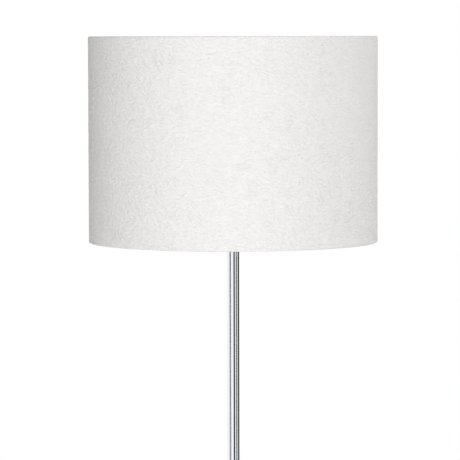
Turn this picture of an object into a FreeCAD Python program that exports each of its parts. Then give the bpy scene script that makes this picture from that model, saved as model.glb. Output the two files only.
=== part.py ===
"""Tripod floor lamp. Three slim chromed rods stand side by side round a wire tube as one narrow stem.

Near the floor they splay into three legs on rubber feet. A hub on top of the rods carries a switched
lampholder, a bulb and a fabric drum shade, which sits on the lampholder's flange under its ring.

Millimetres. +Z is up, the origin is on the floor, on the stem's axis, and -Y is the front.
One leg points to the front, the other two to the back right and the back left.
"""
import FreeCAD
import Part
import math
import os

# ---- driving sizes ------------------------------------------------------------------------------
OVERALL_HEIGHT = 1550.0
SHADE_DIAMETER = 450.0
SHADE_HEIGHT = 320.0

ROD_DIAMETER = 6.5            # the three stem rods and the legs below them
ROD_CIRCLE_RADIUS = 7.5       # rod centres from the stem's axis
WIRE_TUBE_OUTER = 6.0         # central tube that hides the lead
WIRE_TUBE_INNER = 5.0

FOOT_CIRCLE_RADIUS = 206.0    # where a leg's axis meets the floor
LEG_ANGLE = 32.0              # degrees from the vertical
LEG_BEND_RADIUS = 200.0
LEG_END_LIFT = 5.0            # height of the bar's end, inside its foot
LEG_DIRECTIONS = {"front": -90.0, "back_right": 30.0, "back_left": 150.0}

COUPLING_MIDDLE = 640.0       # height of the joint between the stem rods and the legs
COUPLING_LENGTH = 44.0
COLLAR_DIAMETER = 30.0
SPLAY_COLLAR_LENGTH = 18.0
HUB_DIAMETER = 36.0
HUB_LENGTH = 20.0
HUB_ROD_DEPTH = 13.0
HUB_TUBE_DEPTH = 13.0
DRUM_CHAMFER = 1.0

SLIDE_FIT = 0.03              # radial room of a rod or tube in its bore
BUTT_GAP = 0.4                # between two rod ends in the coupling
SET_SCREW_DIAMETER = 4.0
SET_SCREW_SOCKET = 2.0        # across flats
SET_SCREW_RECESS = 0.3
SCREW_FIT = 0.05

CORD_BORE = 4.4               # hole in the gland, for a thin round lead
GLAND_LENGTH = 24.0
GLAND_SOCKET_DEPTH = 12.0

NIPPLE_DIAMETER = 10.0
NIPPLE_BORE = 7.5
NIPPLE_NUT_HEIGHT = 3.0
HOLDER_DIAMETER = 37.0
HOLDER_WALL = 1.5
CAP_HEIGHT = 21.0
CAP_NECK = 5.0
SWITCH_HEIGHT = 20.0
FLANGE_DIAMETER = 47.0
FLANGE_THICKNESS = 2.0
SKIRT_HEIGHT = 36.0
SKIRT_BORE = 34.4
THREAD_DIAMETER = 39.2        # outside thread of the skirt, for the shade ring
THREAD_PITCH = 2.5
THREAD_DEPTH = 0.7
INSERT_HEIGHT = 9.0
SHADE_RING_DIAMETER = 53.0
SHADE_RING_HEIGHT = 9.0
SHADE_RING_RIBS = 24
BAR_DIAMETER = 5.0
BAR_LENGTH = 60.0
BAR_TRAVEL = 6.0

BULB_DIAMETER = 60.0
BULB_LENGTH = 108.0
CAP_THREAD_RADIUS = 13.2      # crest of the round thread on the bulb's cap
CAP_THREAD_PITCH = 3.62
CAP_THREAD_DEPTH = 0.9
CAP_THREAD_TURNS = 4

COVER_THICKNESS = 0.6
LINER_THICKNESS = 0.4
HEM_TUCK = 1.4                # how far the hem comes back past the wire's middle
RING_WIRE = 3.5
SPOKE_WIRE = 4.0
SPOKE_BEND_RADIUS = 30.0
SPOKE_DIRECTIONS = (90.0, 210.0, 330.0)
SPIDER_HOLE = 42.0
SPIDER_RING_DIAMETER = 58.0
SPIDER_RING_THICKNESS = 2.5
SEAT_GAP = 0.2                # between the flange, the spider's ring and the shade ring

# ---- heights and radii worked out from them -----------------------------------------------------
SHADE_RADIUS = SHADE_DIAMETER / 2
SHADE_TOP = OVERALL_HEIGHT
SHADE_BOTTOM = OVERALL_HEIGHT - SHADE_HEIGHT

HUB_BOTTOM = SHADE_BOTTOM - HUB_LENGTH / 2
HUB_TOP = HUB_BOTTOM + HUB_LENGTH
NUT_TOP = HUB_TOP + NIPPLE_NUT_HEIGHT
CAP_TOP = NUT_TOP + CAP_HEIGHT
SWITCH_TOP = CAP_TOP + SWITCH_HEIGHT
FLANGE_TOP = SWITCH_TOP + FLANGE_THICKNESS
SKIRT_TOP = FLANGE_TOP + SKIRT_HEIGHT
INSERT_TOP = SWITCH_TOP + INSERT_HEIGHT
SPIDER_Z = FLANGE_TOP + SEAT_GAP
SPIDER_TOP = SPIDER_Z + SPIDER_RING_THICKNESS
BAR_Z = CAP_TOP + SWITCH_HEIGHT / 2

BULB_TIP = INSERT_TOP + 2.5
BULB_CAP_BOTTOM = BULB_TIP + 6.0
BULB_CAP_TOP = BULB_CAP_BOTTOM + 20.0
BULB_SHOULDER = BULB_CAP_TOP + 34.0
BULB_TOP = BULB_TIP + BULB_LENGTH

LEG_SLOPE = math.radians(LEG_ANGLE)
BEND_REACH = LEG_BEND_RADIUS * (1.0 - math.cos(LEG_SLOPE))
STRAIGHT_TOP = (FOOT_CIRCLE_RADIUS - ROD_CIRCLE_RADIUS - BEND_REACH) / math.tan(LEG_SLOPE)
BEND_TOP = STRAIGHT_TOP + LEG_BEND_RADIUS * math.sin(LEG_SLOPE)
COLLAR_BOTTOM = BEND_TOP + 3.0
GLAND_BOTTOM = COLLAR_BOTTOM - 48.0
GLAND_SEAT = GLAND_BOTTOM + GLAND_SOCKET_DEPTH
COUPLING_BOTTOM = COUPLING_MIDDLE - COUPLING_LENGTH / 2
COUPLING_SCREWS = (COUPLING_BOTTOM + 10.0, COUPLING_BOTTOM + COUPLING_LENGTH - 10.0)
SPLAY_SCREWS = (COLLAR_BOTTOM + SPLAY_COLLAR_LENGTH / 2,)
HUB_SCREWS = (HUB_BOTTOM + 7.0,)

ROD_RADIUS = ROD_DIAMETER / 2
ROD_BORE = ROD_RADIUS + SLIDE_FIT
ROD_OUTSIDE = ROD_CIRCLE_RADIUS + ROD_RADIUS
TUBE_BORE = WIRE_TUBE_OUTER / 2 + SLIDE_FIT
NIPPLE_HOLE = NIPPLE_DIAMETER / 2 + SCREW_FIT
HOLDER_RADIUS = HOLDER_DIAMETER / 2
THREAD_RADIUS = THREAD_DIAMETER / 2

LINER_OUTSIDE = SHADE_RADIUS - COVER_THICKNESS
LINER_INSIDE = LINER_OUTSIDE - LINER_THICKNESS
HEM_INSIDE = (RING_WIRE + LINER_THICKNESS) / 2 + 0.03
HEM_OUTSIDE = HEM_INSIDE + COVER_THICKNESS
HEM_REACH = SHADE_RADIUS - HEM_OUTSIDE
WIRE_REACH = LINER_INSIDE - RING_WIRE / 2 - 0.02
TOP_WIRE_Z = SHADE_TOP - HEM_OUTSIDE
BOTTOM_WIRE_Z = SHADE_BOTTOM + HEM_OUTSIDE

UP = FreeCAD.Vector(0, 0, 1)
ACROSS = FreeCAD.Vector(1, 0, 0)
ORIGIN = FreeCAD.Vector(0, 0, 0)


# ---- helpers ------------------------------------------------------------------------------------
def point(reach, height):
    """A point in the XZ half-plane, by its distance from the stem's axis and its height."""
    return FreeCAD.Vector(reach, 0, height)


def turned(shape, degrees):
    """A copy turned about the stem's axis."""
    copy = shape.copy()
    copy.rotate(ORIGIN, UP, degrees)
    return copy


def upright(radius, bottom, top, reach=0.0):
    """A vertical round bar."""
    return Part.makeCylinder(radius, top - bottom, point(reach, bottom), UP)


def tube(outer, inner, bottom, top):
    return upright(outer, bottom, top).cut(upright(inner, bottom - 1, top + 1))


def arc(middle_reach, middle_height, end_reach, end_height):
    """A corner for spun(): come here by an arc through the middle point."""
    return point(middle_reach, middle_height), point(end_reach, end_height)


def spun(*corners):
    """A solid turned about the stem's axis from its outline: (reach, height) pairs and arcs."""
    start = point(*corners[0])
    edges = []
    for corner in (*corners[1:], corners[0]):
        if isinstance(corner[0], FreeCAD.Vector):
            middle, end = corner
            edges.append(Part.Arc(start, middle, end).toShape())
        else:
            end = point(*corner)
            if start.distanceToPoint(end) > 1e-7:
                edges.append(Part.LineSegment(start, end).toShape())
        start = end
    return Part.Face(Part.Wire(edges)).revolve(ORIGIN, UP, 360)


def line(start, end):
    return Part.LineSegment(start, end).toShape()


def swept(path_edges, radius):
    """A round bar of this radius along tangent edges."""
    first = path_edges[0]
    start = first.valueAt(first.FirstParameter)
    direction = first.tangentAt(first.FirstParameter)
    section = Part.Wire(Part.Circle(start, direction, radius).toShape())
    return Part.Wire(path_edges).makePipeShell([section], True, True)


def hexagon(across_flats, centre, normal, length):
    """A hexagonal bar that starts at a point and runs along an axis."""
    side = normal.cross(FreeCAD.Vector(0.3, 1, 0.2)).normalize()
    corner = side * (across_flats / 2 / math.cos(math.radians(30)))
    turn = [FreeCAD.Rotation(normal, 60 * k).multVec(corner) for k in range(7)]
    return Part.Face(Part.makePolygon([centre + step for step in turn])).extrude(normal * length)


def drum(diameter, bottom, length):
    """A turned cylinder with a small chamfer on both rims."""
    r = diameter / 2
    inset = r - DRUM_CHAMFER
    top = bottom + length
    return spun((0, bottom), (inset, bottom), (r, bottom + DRUM_CHAMFER),
                (r, top - DRUM_CHAMFER), (inset, top), (0, top))


def bored_for_rods(body, bottom, top):
    """The body with its three rod bores."""
    bore = upright(ROD_BORE, bottom, top, ROD_CIRCLE_RADIUS)
    return body.cut([turned(bore, angle) for angle in LEG_DIRECTIONS.values()])


def tapped_for_screws(body, heights, outside):
    """The body with a radial screw hole into each rod bore, at each height."""
    holes = []
    for height in heights:
        start = point(ROD_CIRCLE_RADIUS, height)
        hole = Part.makeCylinder(SET_SCREW_DIAMETER / 2, outside - ROD_CIRCLE_RADIUS + 1, start, ACROSS)
        holes += [turned(hole, angle) for angle in LEG_DIRECTIONS.values()]
    return body.cut(holes)


def set_screw(height, outside):
    """A headless screw with its hexagon socket outwards and its point on the rod."""
    radius = SET_SCREW_DIAMETER / 2 - SCREW_FIT
    tip = ROD_OUTSIDE + 0.1
    end = outside - SET_SCREW_RECESS
    body = Part.makeCylinder(radius, end - tip, point(tip, height), ACROSS)
    socket = hexagon(SET_SCREW_SOCKET, point(end - 1.9, height), ACROSS, 3.0)
    return body.cut(socket)


def set_screws(heights, diameter):
    screws = []
    for height in heights:
        screw = set_screw(height, diameter / 2)
        screws += [turned(screw, angle) for angle in LEG_DIRECTIONS.values()]
    return Part.makeCompound(screws)


# ---- stand --------------------------------------------------------------------------------------
def leg():
    """Vertical in the coupling and the collar, bent outwards below it, then straight to the foot."""
    top = point(ROD_CIRCLE_RADIUS, COUPLING_MIDDLE - BUTT_GAP / 2)
    bend_top = point(ROD_CIRCLE_RADIUS, BEND_TOP)
    half = LEG_SLOPE / 2
    bend_middle = bend_top + point(LEG_BEND_RADIUS * (1 - math.cos(half)), -LEG_BEND_RADIUS * math.sin(half))
    bend_end = point(ROD_CIRCLE_RADIUS + BEND_REACH, STRAIGHT_TOP)
    end = point(FOOT_CIRCLE_RADIUS - LEG_END_LIFT * math.tan(LEG_SLOPE), LEG_END_LIFT)
    bend = Part.Arc(bend_top, bend_middle, bend_end).toShape()
    return swept([line(top, bend_top), bend, line(bend_end, end)], ROD_RADIUS)


def foot():
    """Rubber foot: a sleeve on the leg's end, moulded onto a flat round pad."""
    sleeve_radius, sleeve_length = 6.0, 34.0
    pad_radius, pad_shoulder = 12.0, 10.0
    pad_rim, pad_height = 2.5, 6.5
    along = point(-math.sin(LEG_SLOPE), math.cos(LEG_SLOPE))
    ground = point(FOOT_CIRCLE_RADIUS, 0)
    sleeve = Part.makeCylinder(sleeve_radius, sleeve_length, ground, along)
    rim = [edge for edge in sleeve.Edges if edge.BoundBox.ZMin > sleeve_length / 2]
    sleeve = sleeve.makeChamfer(1.2, rim)
    pad_reach = FOOT_CIRCLE_RADIUS - pad_height / 2 * math.tan(LEG_SLOPE)
    pad = upright(pad_radius, 0, pad_rim, pad_reach)
    cone = Part.makeCone(pad_radius, pad_shoulder, pad_height - pad_rim, point(pad_reach, pad_rim), UP)
    below_floor = Part.makeBox(100, 100, 30, FreeCAD.Vector(FOOT_CIRCLE_RADIUS - 50, -50, -30))
    bore_start = point(FOOT_CIRCLE_RADIUS - LEG_END_LIFT * math.tan(LEG_SLOPE), LEG_END_LIFT)
    bore = Part.makeCylinder(ROD_RADIUS + 0.02, sleeve_length, bore_start, along)
    return sleeve.fuse([pad, cone]).cut([below_floor, bore]).removeSplitter()


def stem_rod():
    return upright(ROD_RADIUS, COUPLING_MIDDLE + BUTT_GAP / 2, HUB_BOTTOM + HUB_ROD_DEPTH, ROD_CIRCLE_RADIUS)


def wire_tube(bottom, top):
    return tube(WIRE_TUBE_OUTER / 2, WIRE_TUBE_INNER / 2, bottom, top)


def collar(bottom, length, screw_heights):
    """Holds the three bars and the wire tube at their distance, with a set screw on each bar."""
    body = drum(COLLAR_DIAMETER, bottom, length)
    body = bored_for_rods(body, bottom - 1, bottom + length + 1)
    body = body.cut(upright(TUBE_BORE, bottom - 1, bottom + length + 1))
    return tapped_for_screws(body, screw_heights, COLLAR_DIAMETER / 2)


def cord_gland():
    """Bush on the wire tube's lower end: a socket for the tube, a bore for the lead, a flared mouth."""
    bore, mouth = CORD_BORE / 2, CORD_BORE / 2 + 0.8
    bottom, top = GLAND_BOTTOM, GLAND_BOTTOM + GLAND_LENGTH
    return spun((mouth, bottom), (6.0, bottom), (6.5, bottom + 0.5), (6.5, bottom + 2.5),
                (5.0, bottom + 3.5), (5.0, top - 0.6), (4.4, top), (TUBE_BORE, top),
                (TUBE_BORE, GLAND_SEAT), (bore, GLAND_SEAT), (bore, bottom + 1.5))


def top_hub():
    """Blind rod bores from below, the wire tube's bore, and a tapped hole for the nipple above."""
    rod_stop = HUB_BOTTOM + HUB_ROD_DEPTH + 0.2
    body = drum(HUB_DIAMETER, HUB_BOTTOM, HUB_LENGTH)
    body = bored_for_rods(body, HUB_BOTTOM - 1, rod_stop)
    body = body.cut(upright(TUBE_BORE, HUB_BOTTOM - 1, HUB_TOP))
    body = body.cut(upright(NIPPLE_HOLE, rod_stop + 0.8, HUB_TOP + 1))
    return tapped_for_screws(body, HUB_SCREWS, HUB_DIAMETER / 2)


# ---- lampholder ---------------------------------------------------------------------------------
def nipple():
    """Threaded tube that joins the hub to the lampholder's cap."""
    return tube(NIPPLE_DIAMETER / 2, NIPPLE_BORE / 2, HUB_TOP - 5.8, NUT_TOP + 9.0)


def nipple_nut():
    nut = hexagon(14.0, point(0, HUB_TOP), UP, NIPPLE_NUT_HEIGHT)
    return nut.cut(upright(NIPPLE_HOLE, HUB_TOP - 1, NUT_TOP + 1))


CAP_SCREW_Z = NUT_TOP + CAP_NECK / 2
CAP_SCREW_RADIUS = 1.5


def holder_cap():
    """Chromed cup with a threaded neck below and its mouth up."""
    neck, boss = 8.5, 9.0
    wall = HOLDER_RADIUS - HOLDER_WALL
    cup = spun((NIPPLE_HOLE, NUT_TOP), (neck, NUT_TOP), (neck, NUT_TOP + CAP_NECK),
               arc(15.0, NUT_TOP + 7.4, HOLDER_RADIUS, NUT_TOP + 13.0), (HOLDER_RADIUS, CAP_TOP),
               (wall, CAP_TOP), (wall, NUT_TOP + 13.6), arc(13.8, NUT_TOP + 8.8, neck, NUT_TOP + 6.8),
               (neck, NUT_TOP + boss), (NIPPLE_HOLE, NUT_TOP + boss))
    hole = Part.makeCylinder(CAP_SCREW_RADIUS, 12, point(0, CAP_SCREW_Z), FreeCAD.Vector(0, 1, 0))
    return cup.cut(hole)


def holder_cap_screw():
    """Grub screw in the cap's neck: it stops the holder turning on the nipple."""
    tip = FreeCAD.Vector(0, NIPPLE_DIAMETER / 2 + 0.1, CAP_SCREW_Z)
    backwards = FreeCAD.Vector(0, 1, 0)
    screw = Part.makeCylinder(CAP_SCREW_RADIUS - SCREW_FIT, 3.0, tip, backwards)
    return screw.cut(hexagon(1.5, tip + backwards * 1.6, backwards, 2.0))


def switch_housing():
    """Moulded body between cap and skirt; the push bar slides through it from side to side."""
    body = upright(HOLDER_RADIUS, CAP_TOP, SWITCH_TOP)
    chamber = Part.makeBox(14, 20, 13, FreeCAD.Vector(-7, -10, CAP_TOP + 4))
    channel_start = FreeCAD.Vector(-HOLDER_DIAMETER, 0, BAR_Z)
    channel = Part.makeCylinder(BAR_DIAMETER / 2 + 0.1, 2 * HOLDER_DIAMETER, channel_start, ACROSS)
    wire_way = upright(2.5, CAP_TOP - 1, CAP_TOP + 5)
    return body.cut([chamber, channel, wire_way])


def switch_bar():
    """Push bar with two rounded buttons, out to the left at rest."""
    button_radius, button_length = 3.8, 5.0
    middle = -BAR_TRAVEL / 2
    start = middle - BAR_LENGTH / 2
    end = middle + BAR_LENGTH / 2
    bar = Part.makeCylinder(BAR_DIAMETER / 2, BAR_LENGTH, point(start, BAR_Z), ACROSS)
    button = Part.makeCylinder(button_radius, button_length, point(start, BAR_Z), ACROSS)
    outer_rim = [edge for edge in button.Edges if edge.BoundBox.XMax < start + 0.01]
    button = button.makeFillet(1.6, outer_rim)
    other = button.mirror(point(middle, BAR_Z), ACROSS)
    notch = Part.makeBox(4, 10, 2, FreeCAD.Vector(middle - 2, -5, BAR_Z + 1.4))
    return bar.fuse([button, other]).cut(notch).removeSplitter()


def switch_contacts():
    """Two brass blades in the chamber, one each side of the bar."""
    reach = 4.2
    blade = Part.makeBox(10, 0.6, 9, FreeCAD.Vector(-5, reach, CAP_TOP + 4.2))
    pad_start = FreeCAD.Vector(0, reach, BAR_Z)
    pad = Part.makeCylinder(1.4, 0.8, pad_start, FreeCAD.Vector(0, -1, 0))
    one = blade.fuse(pad)
    return Part.makeCompound([one, turned(one, 180)])


def holder_skirt():
    """Outer shell: the flange that the shade sits on, and the shade ring's thread drawn as rings."""
    root = THREAD_RADIUS - THREAD_DEPTH
    bore, rim = SKIRT_BORE / 2, FLANGE_DIAMETER / 2
    outline = [(bore, SWITCH_TOP), (rim - 0.5, SWITCH_TOP), (rim, SWITCH_TOP + 0.5), (rim, FLANGE_TOP),
               (root, FLANGE_TOP)]
    z = FLANGE_TOP + 1.0
    while z + THREAD_PITCH < SKIRT_TOP - 8.0:
        outline += [(root, z), (THREAD_RADIUS, z + 0.35 * THREAD_PITCH)]
        outline += [(THREAD_RADIUS, z + 0.65 * THREAD_PITCH), (root, z + THREAD_PITCH)]
        z += THREAD_PITCH
    outline += [(root, SKIRT_TOP - 2.0), (root - 1.2, SKIRT_TOP), (bore, SKIRT_TOP)]
    return spun(*outline)


TERMINAL_REACH = 9.0


def holder_insert():
    """Ceramic floor of the skirt, with the contact's slot and the two terminal wells."""
    r = SKIRT_BORE / 2 - 0.2
    disc = spun((0, SWITCH_TOP), (r, SWITCH_TOP), (r, INSERT_TOP - 1.0), (r - 1.0, INSERT_TOP),
                (0, INSERT_TOP))
    wells = [upright(1.6, INSERT_TOP - 5, INSERT_TOP + 1, side * TERMINAL_REACH) for side in (-1, 1)]
    slot = Part.makeBox(8.4, 5.2, 2.2, FreeCAD.Vector(-2.6, -2.6, INSERT_TOP - 1.2))
    return disc.cut([*wells, slot])


def terminal_screws():
    """Slotted brass screws in the insert's wells."""
    screws = []
    for side in (-1, 1):
        reach = side * TERMINAL_REACH
        shank = upright(1.5, INSERT_TOP - 4.6, INSERT_TOP, reach)
        head = upright(2.6, INSERT_TOP, INSERT_TOP + 1.2, reach)
        slot = Part.makeBox(6, 0.6, 0.6, FreeCAD.Vector(reach - 3, -0.3, INSERT_TOP + 0.7))
        screws.append(shank.fuse(head).cut(slot))
    return Part.makeCompound(screws)


SHELL_BOTTOM = INSERT_TOP + 1.3


def screw_shell():
    """Sleeve for the bulb's cap, with a rolled lip; its thread is left plain."""
    inner, wall = CAP_THREAD_RADIUS + 0.25, 0.5
    top = SKIRT_TOP - 5.0
    return spun((inner, SHELL_BOTTOM), (inner + wall, SHELL_BOTTOM), (inner + wall, top - 1.5),
                (inner + 2.2, top - 1.0), (inner + 2.2, top - 0.4),
                arc(inner + 1.0, top - 0.1, inner, top - 1.0))


def screw_shell_feet():
    """Two brass blocks that carry the screw shell on the insert."""
    start = FreeCAD.Vector(CAP_THREAD_RADIUS - 1.4, -2.5, INSERT_TOP)
    block = Part.makeBox(3.0, 5.0, SHELL_BOTTOM - INSERT_TOP, start)
    return Part.makeCompound([turned(block, angle) for angle in (90, 270)])


def centre_contact():
    """Sprung brass leaf: flat in the insert's slot, then bent back up under the bulb's tip."""
    width, thickness = 4.4, 0.5
    floor = INSERT_TOP - 1.1
    heel, toe = 5.4, -2.2
    outline = [point(toe, floor), point(heel, floor), point(heel, floor + thickness),
               point(toe + 0.8, BULB_TIP - 0.2), point(toe, BULB_TIP - 0.2), point(toe, BULB_TIP - 0.7),
               point(heel - 1.2, floor + thickness), point(toe, floor + thickness), point(toe, floor)]
    leaf = Part.Face(Part.makePolygon(outline)).extrude(FreeCAD.Vector(0, width, 0))
    leaf.translate(FreeCAD.Vector(0, -width / 2, 0))
    return leaf


def shade_ring():
    """Ring on the skirt's thread that clamps the spider on the flange, with finger ribs round it."""
    inner, outer = THREAD_RADIUS + 0.2, SHADE_RING_DIAMETER / 2
    waist = outer - 2.5
    bottom = SPIDER_TOP + SEAT_GAP
    top = bottom + SHADE_RING_HEIGHT
    body = spun((inner, bottom), (outer, bottom), (outer, bottom + 2.0), (waist, bottom + 3.0),
                (waist, top - 0.8), (waist - 0.8, top), (inner, top))
    groove = upright(0.9, bottom + 3.4, top + 1, waist + 0.3)
    step = 360 / SHADE_RING_RIBS
    return body.cut([turned(groove, step * k) for k in range(SHADE_RING_RIBS)])


# ---- bulb ---------------------------------------------------------------------------------------
def bulb_contact():
    top = BULB_TIP + 1.6
    return spun((0, BULB_TIP), (2.6, BULB_TIP), arc(4.2, BULB_TIP + 0.5, 4.8, top), (0, top))


def bulb_insulator():
    bottom = BULB_TIP + 1.6
    return spun((0, bottom), (4.8, bottom), (9.0, BULB_CAP_BOTTOM - 1.6), (11.6, BULB_CAP_BOTTOM),
                (0, BULB_CAP_BOTTOM))


def bulb_cap():
    """Nickelled cap; its round thread is drawn as rings."""
    bore, root = 10.6, CAP_THREAD_RADIUS - CAP_THREAD_DEPTH
    collar_radius = CAP_THREAD_RADIUS - 0.1
    z = BULB_CAP_BOTTOM + 1.6
    outline = [(bore, BULB_CAP_BOTTOM), (root - 0.5, BULB_CAP_BOTTOM), (root, z)]
    for _ in range(CAP_THREAD_TURNS):
        crest = z + CAP_THREAD_PITCH / 2
        z += CAP_THREAD_PITCH
        outline.append(arc(CAP_THREAD_RADIUS, crest, root, z))
    outline += [(root, BULB_CAP_TOP - 1.0), (collar_radius, BULB_CAP_TOP - 0.6),
                (collar_radius, BULB_CAP_TOP), (bore, BULB_CAP_TOP)]
    return spun(*outline)


def bulb_body():
    """White moulded neck, plugged into the cap and flared up to the globe."""
    plug, rim = 10.5, BULB_DIAMETER / 2 - 1.0
    seat = BULB_SHOULDER - 2.5
    return spun((0, BULB_CAP_BOTTOM + 2.0), (plug, BULB_CAP_BOTTOM + 2.0), (plug, BULB_CAP_TOP),
                (14.2, BULB_CAP_TOP), arc(17.2, BULB_CAP_TOP + 17.0, rim, BULB_SHOULDER),
                (rim, BULB_SHOULDER + 1.0), (rim - 2.2, BULB_SHOULDER + 1.0), (rim - 2.2, seat), (0, seat))


def bulb_led_board():
    """Disc with a ring of emitters round one in the middle, on the neck's floor."""
    emitters = 8
    seat = BULB_SHOULDER - 2.5
    board = upright(24.0, seat, seat + 1.6)
    outer = Part.makeBox(3.0, 3.0, 0.8, FreeCAD.Vector(14.5, -1.5, seat + 1.6))
    centre = Part.makeBox(3.0, 3.0, 0.8, FreeCAD.Vector(-1.5, -1.5, seat + 1.6))
    ring = [turned(outer, 360 / emitters * k) for k in range(emitters)]
    return board.fuse([*ring, centre])


def bulb_globe():
    """Opal dome on the neck's rim."""
    r, wall = BULB_DIAMETER / 2, 1.2
    base = BULB_SHOULDER + 1.0
    middle = BULB_TOP - r
    inner = r - wall
    diagonal = math.cos(math.radians(45))
    return spun((r - 1.0, base), (r, base + 3.0), (r, middle),
                arc(r * diagonal, middle + r * diagonal, 0, BULB_TOP), (0, BULB_TOP - wall),
                arc(inner * diagonal, middle + inner * diagonal, inner, middle), (inner, base + 3.0),
                (inner - 1.0, base))


# ---- shade --------------------------------------------------------------------------------------
def shade_cover():
    """Fabric drum, rolled inwards over the wire ring at both ends."""
    inner, outer = HEM_REACH - HEM_OUTSIDE, HEM_REACH - HEM_INSIDE
    return spun((SHADE_RADIUS, BOTTOM_WIRE_Z), (SHADE_RADIUS, TOP_WIRE_Z),
                arc(HEM_REACH, SHADE_TOP, inner, TOP_WIRE_Z), (inner, TOP_WIRE_Z - HEM_TUCK),
                (outer, TOP_WIRE_Z - HEM_TUCK), (outer, TOP_WIRE_Z),
                arc(HEM_REACH, SHADE_TOP - COVER_THICKNESS, LINER_OUTSIDE, TOP_WIRE_Z),
                (LINER_OUTSIDE, BOTTOM_WIRE_Z),
                arc(HEM_REACH, SHADE_BOTTOM + COVER_THICKNESS, outer, BOTTOM_WIRE_Z),
                (outer, BOTTOM_WIRE_Z + HEM_TUCK), (inner, BOTTOM_WIRE_Z + HEM_TUCK), (inner, BOTTOM_WIRE_Z),
                arc(HEM_REACH, SHADE_BOTTOM, SHADE_RADIUS, BOTTOM_WIRE_Z))


def shade_liner():
    """Stiff white sheet that the fabric is laminated to."""
    return tube(LINER_OUTSIDE - 0.01, LINER_INSIDE, BOTTOM_WIRE_Z, TOP_WIRE_Z)


def shade_wire(height):
    return Part.makeTorus(WIRE_REACH, RING_WIRE / 2, point(0, height), UP)


def rounded_corner(corner, arriving, leaving, radius):
    """The start, the arc and the end of a bend between two directions in the XZ plane."""
    half = arriving.getAngle(leaving) / 2
    begin = corner - arriving * (radius * math.tan(half))
    end = corner + leaving * (radius * math.tan(half))
    inwards = (leaving - arriving).normalize()
    middle = corner + inwards * (radius * (1 / math.cos(half) - 1))
    return begin, Part.Arc(begin, middle, end).toShape(), end


def spider_spokes():
    """Three wires welded on the bottom wire, rising inwards to the spider's ring."""
    hub_edge = SPIDER_RING_DIAMETER / 2 + 0.02
    level = SPIDER_Z + SPIDER_RING_THICKNESS / 2
    weld = BOTTOM_WIRE_Z + RING_WIRE / 2 + SPOKE_WIRE / 2
    outer_knee = point(WIRE_REACH - 14.0, weld)
    inner_knee = point(hub_edge + 26.0, level)
    inwards = FreeCAD.Vector(-1, 0, 0)
    rising = (inner_knee - outer_knee).normalize()
    outer_start, outer_bend, outer_end = rounded_corner(outer_knee, inwards, rising, SPOKE_BEND_RADIUS)
    inner_start, inner_bend, inner_end = rounded_corner(inner_knee, rising, inwards, SPOKE_BEND_RADIUS)
    path = [line(point(WIRE_REACH, weld), outer_start), outer_bend, line(outer_end, inner_start),
            inner_bend, line(inner_end, point(hub_edge, level))]
    spoke = swept(path, SPOKE_WIRE / 2)
    return Part.makeCompound([turned(spoke, angle) for angle in SPOKE_DIRECTIONS])


def spider_ring():
    """Flat ring that drops over the skirt and rests on its flange."""
    outer, hole, edge = SPIDER_RING_DIAMETER / 2, SPIDER_HOLE / 2, 0.5
    return spun((hole, SPIDER_Z), (outer - edge, SPIDER_Z), (outer, SPIDER_Z + edge),
                (outer, SPIDER_TOP - edge), (outer - edge, SPIDER_TOP), (hole, SPIDER_TOP))


# ---- export -------------------------------------------------------------------------------------
def build():
    """Every sub-part by its name."""
    made = {}
    for name, angle in LEG_DIRECTIONS.items():
        made["foot_" + name] = turned(foot(), angle)
        made["leg_" + name] = turned(leg(), angle)
        made["rod_" + name] = turned(stem_rod(), angle)
    made["splay_collar"] = collar(COLLAR_BOTTOM, SPLAY_COLLAR_LENGTH, SPLAY_SCREWS)
    made["splay_collar_screws"] = set_screws(SPLAY_SCREWS, COLLAR_DIAMETER)
    made["mid_coupling"] = collar(COUPLING_BOTTOM, COUPLING_LENGTH, COUPLING_SCREWS)
    made["mid_coupling_screws"] = set_screws(COUPLING_SCREWS, COLLAR_DIAMETER)
    made["wire_tube_lower"] = wire_tube(GLAND_SEAT, COUPLING_MIDDLE - BUTT_GAP / 2)
    made["wire_tube_upper"] = wire_tube(COUPLING_MIDDLE + BUTT_GAP / 2, HUB_BOTTOM + HUB_TUBE_DEPTH)
    made["cord_gland"] = cord_gland()
    made["top_hub"] = top_hub()
    made["top_hub_screws"] = set_screws(HUB_SCREWS, HUB_DIAMETER)
    made["nipple"] = nipple()
    made["nipple_nut"] = nipple_nut()
    made["holder_cap"] = holder_cap()
    made["holder_cap_screw"] = holder_cap_screw()
    made["switch_housing"] = switch_housing()
    made["switch_bar"] = switch_bar()
    made["switch_contacts"] = switch_contacts()
    made["holder_skirt"] = holder_skirt()
    made["holder_insert"] = holder_insert()
    made["terminal_screws"] = terminal_screws()
    made["screw_shell"] = screw_shell()
    made["screw_shell_feet"] = screw_shell_feet()
    made["centre_contact"] = centre_contact()
    made["shade_ring"] = shade_ring()
    made["bulb_contact"] = bulb_contact()
    made["bulb_insulator"] = bulb_insulator()
    made["bulb_cap"] = bulb_cap()
    made["bulb_body"] = bulb_body()
    made["bulb_led_board"] = bulb_led_board()
    made["bulb_globe"] = bulb_globe()
    made["shade_cover"] = shade_cover()
    made["shade_liner"] = shade_liner()
    made["shade_top_wire"] = shade_wire(TOP_WIRE_Z)
    made["shade_bottom_wire"] = shade_wire(BOTTOM_WIRE_Z)
    made["spider_spokes"] = spider_spokes()
    made["spider_ring"] = spider_ring()
    return made


def main():
    os.makedirs("parts", exist_ok=True)
    for name, shape in build().items():
        if not shape.isValid() or not shape.Solids:
            raise RuntimeError(name + " is not a valid solid")
        shape.exportStep("parts/" + name + ".step")
        box = shape.BoundBox
        print(f"{name:20s} {len(shape.Solids)} solids {shape.Volume:9.0f} mm3, "
              f"z {box.ZMin:7.2f} to {box.ZMax:7.2f}")


main()
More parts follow.
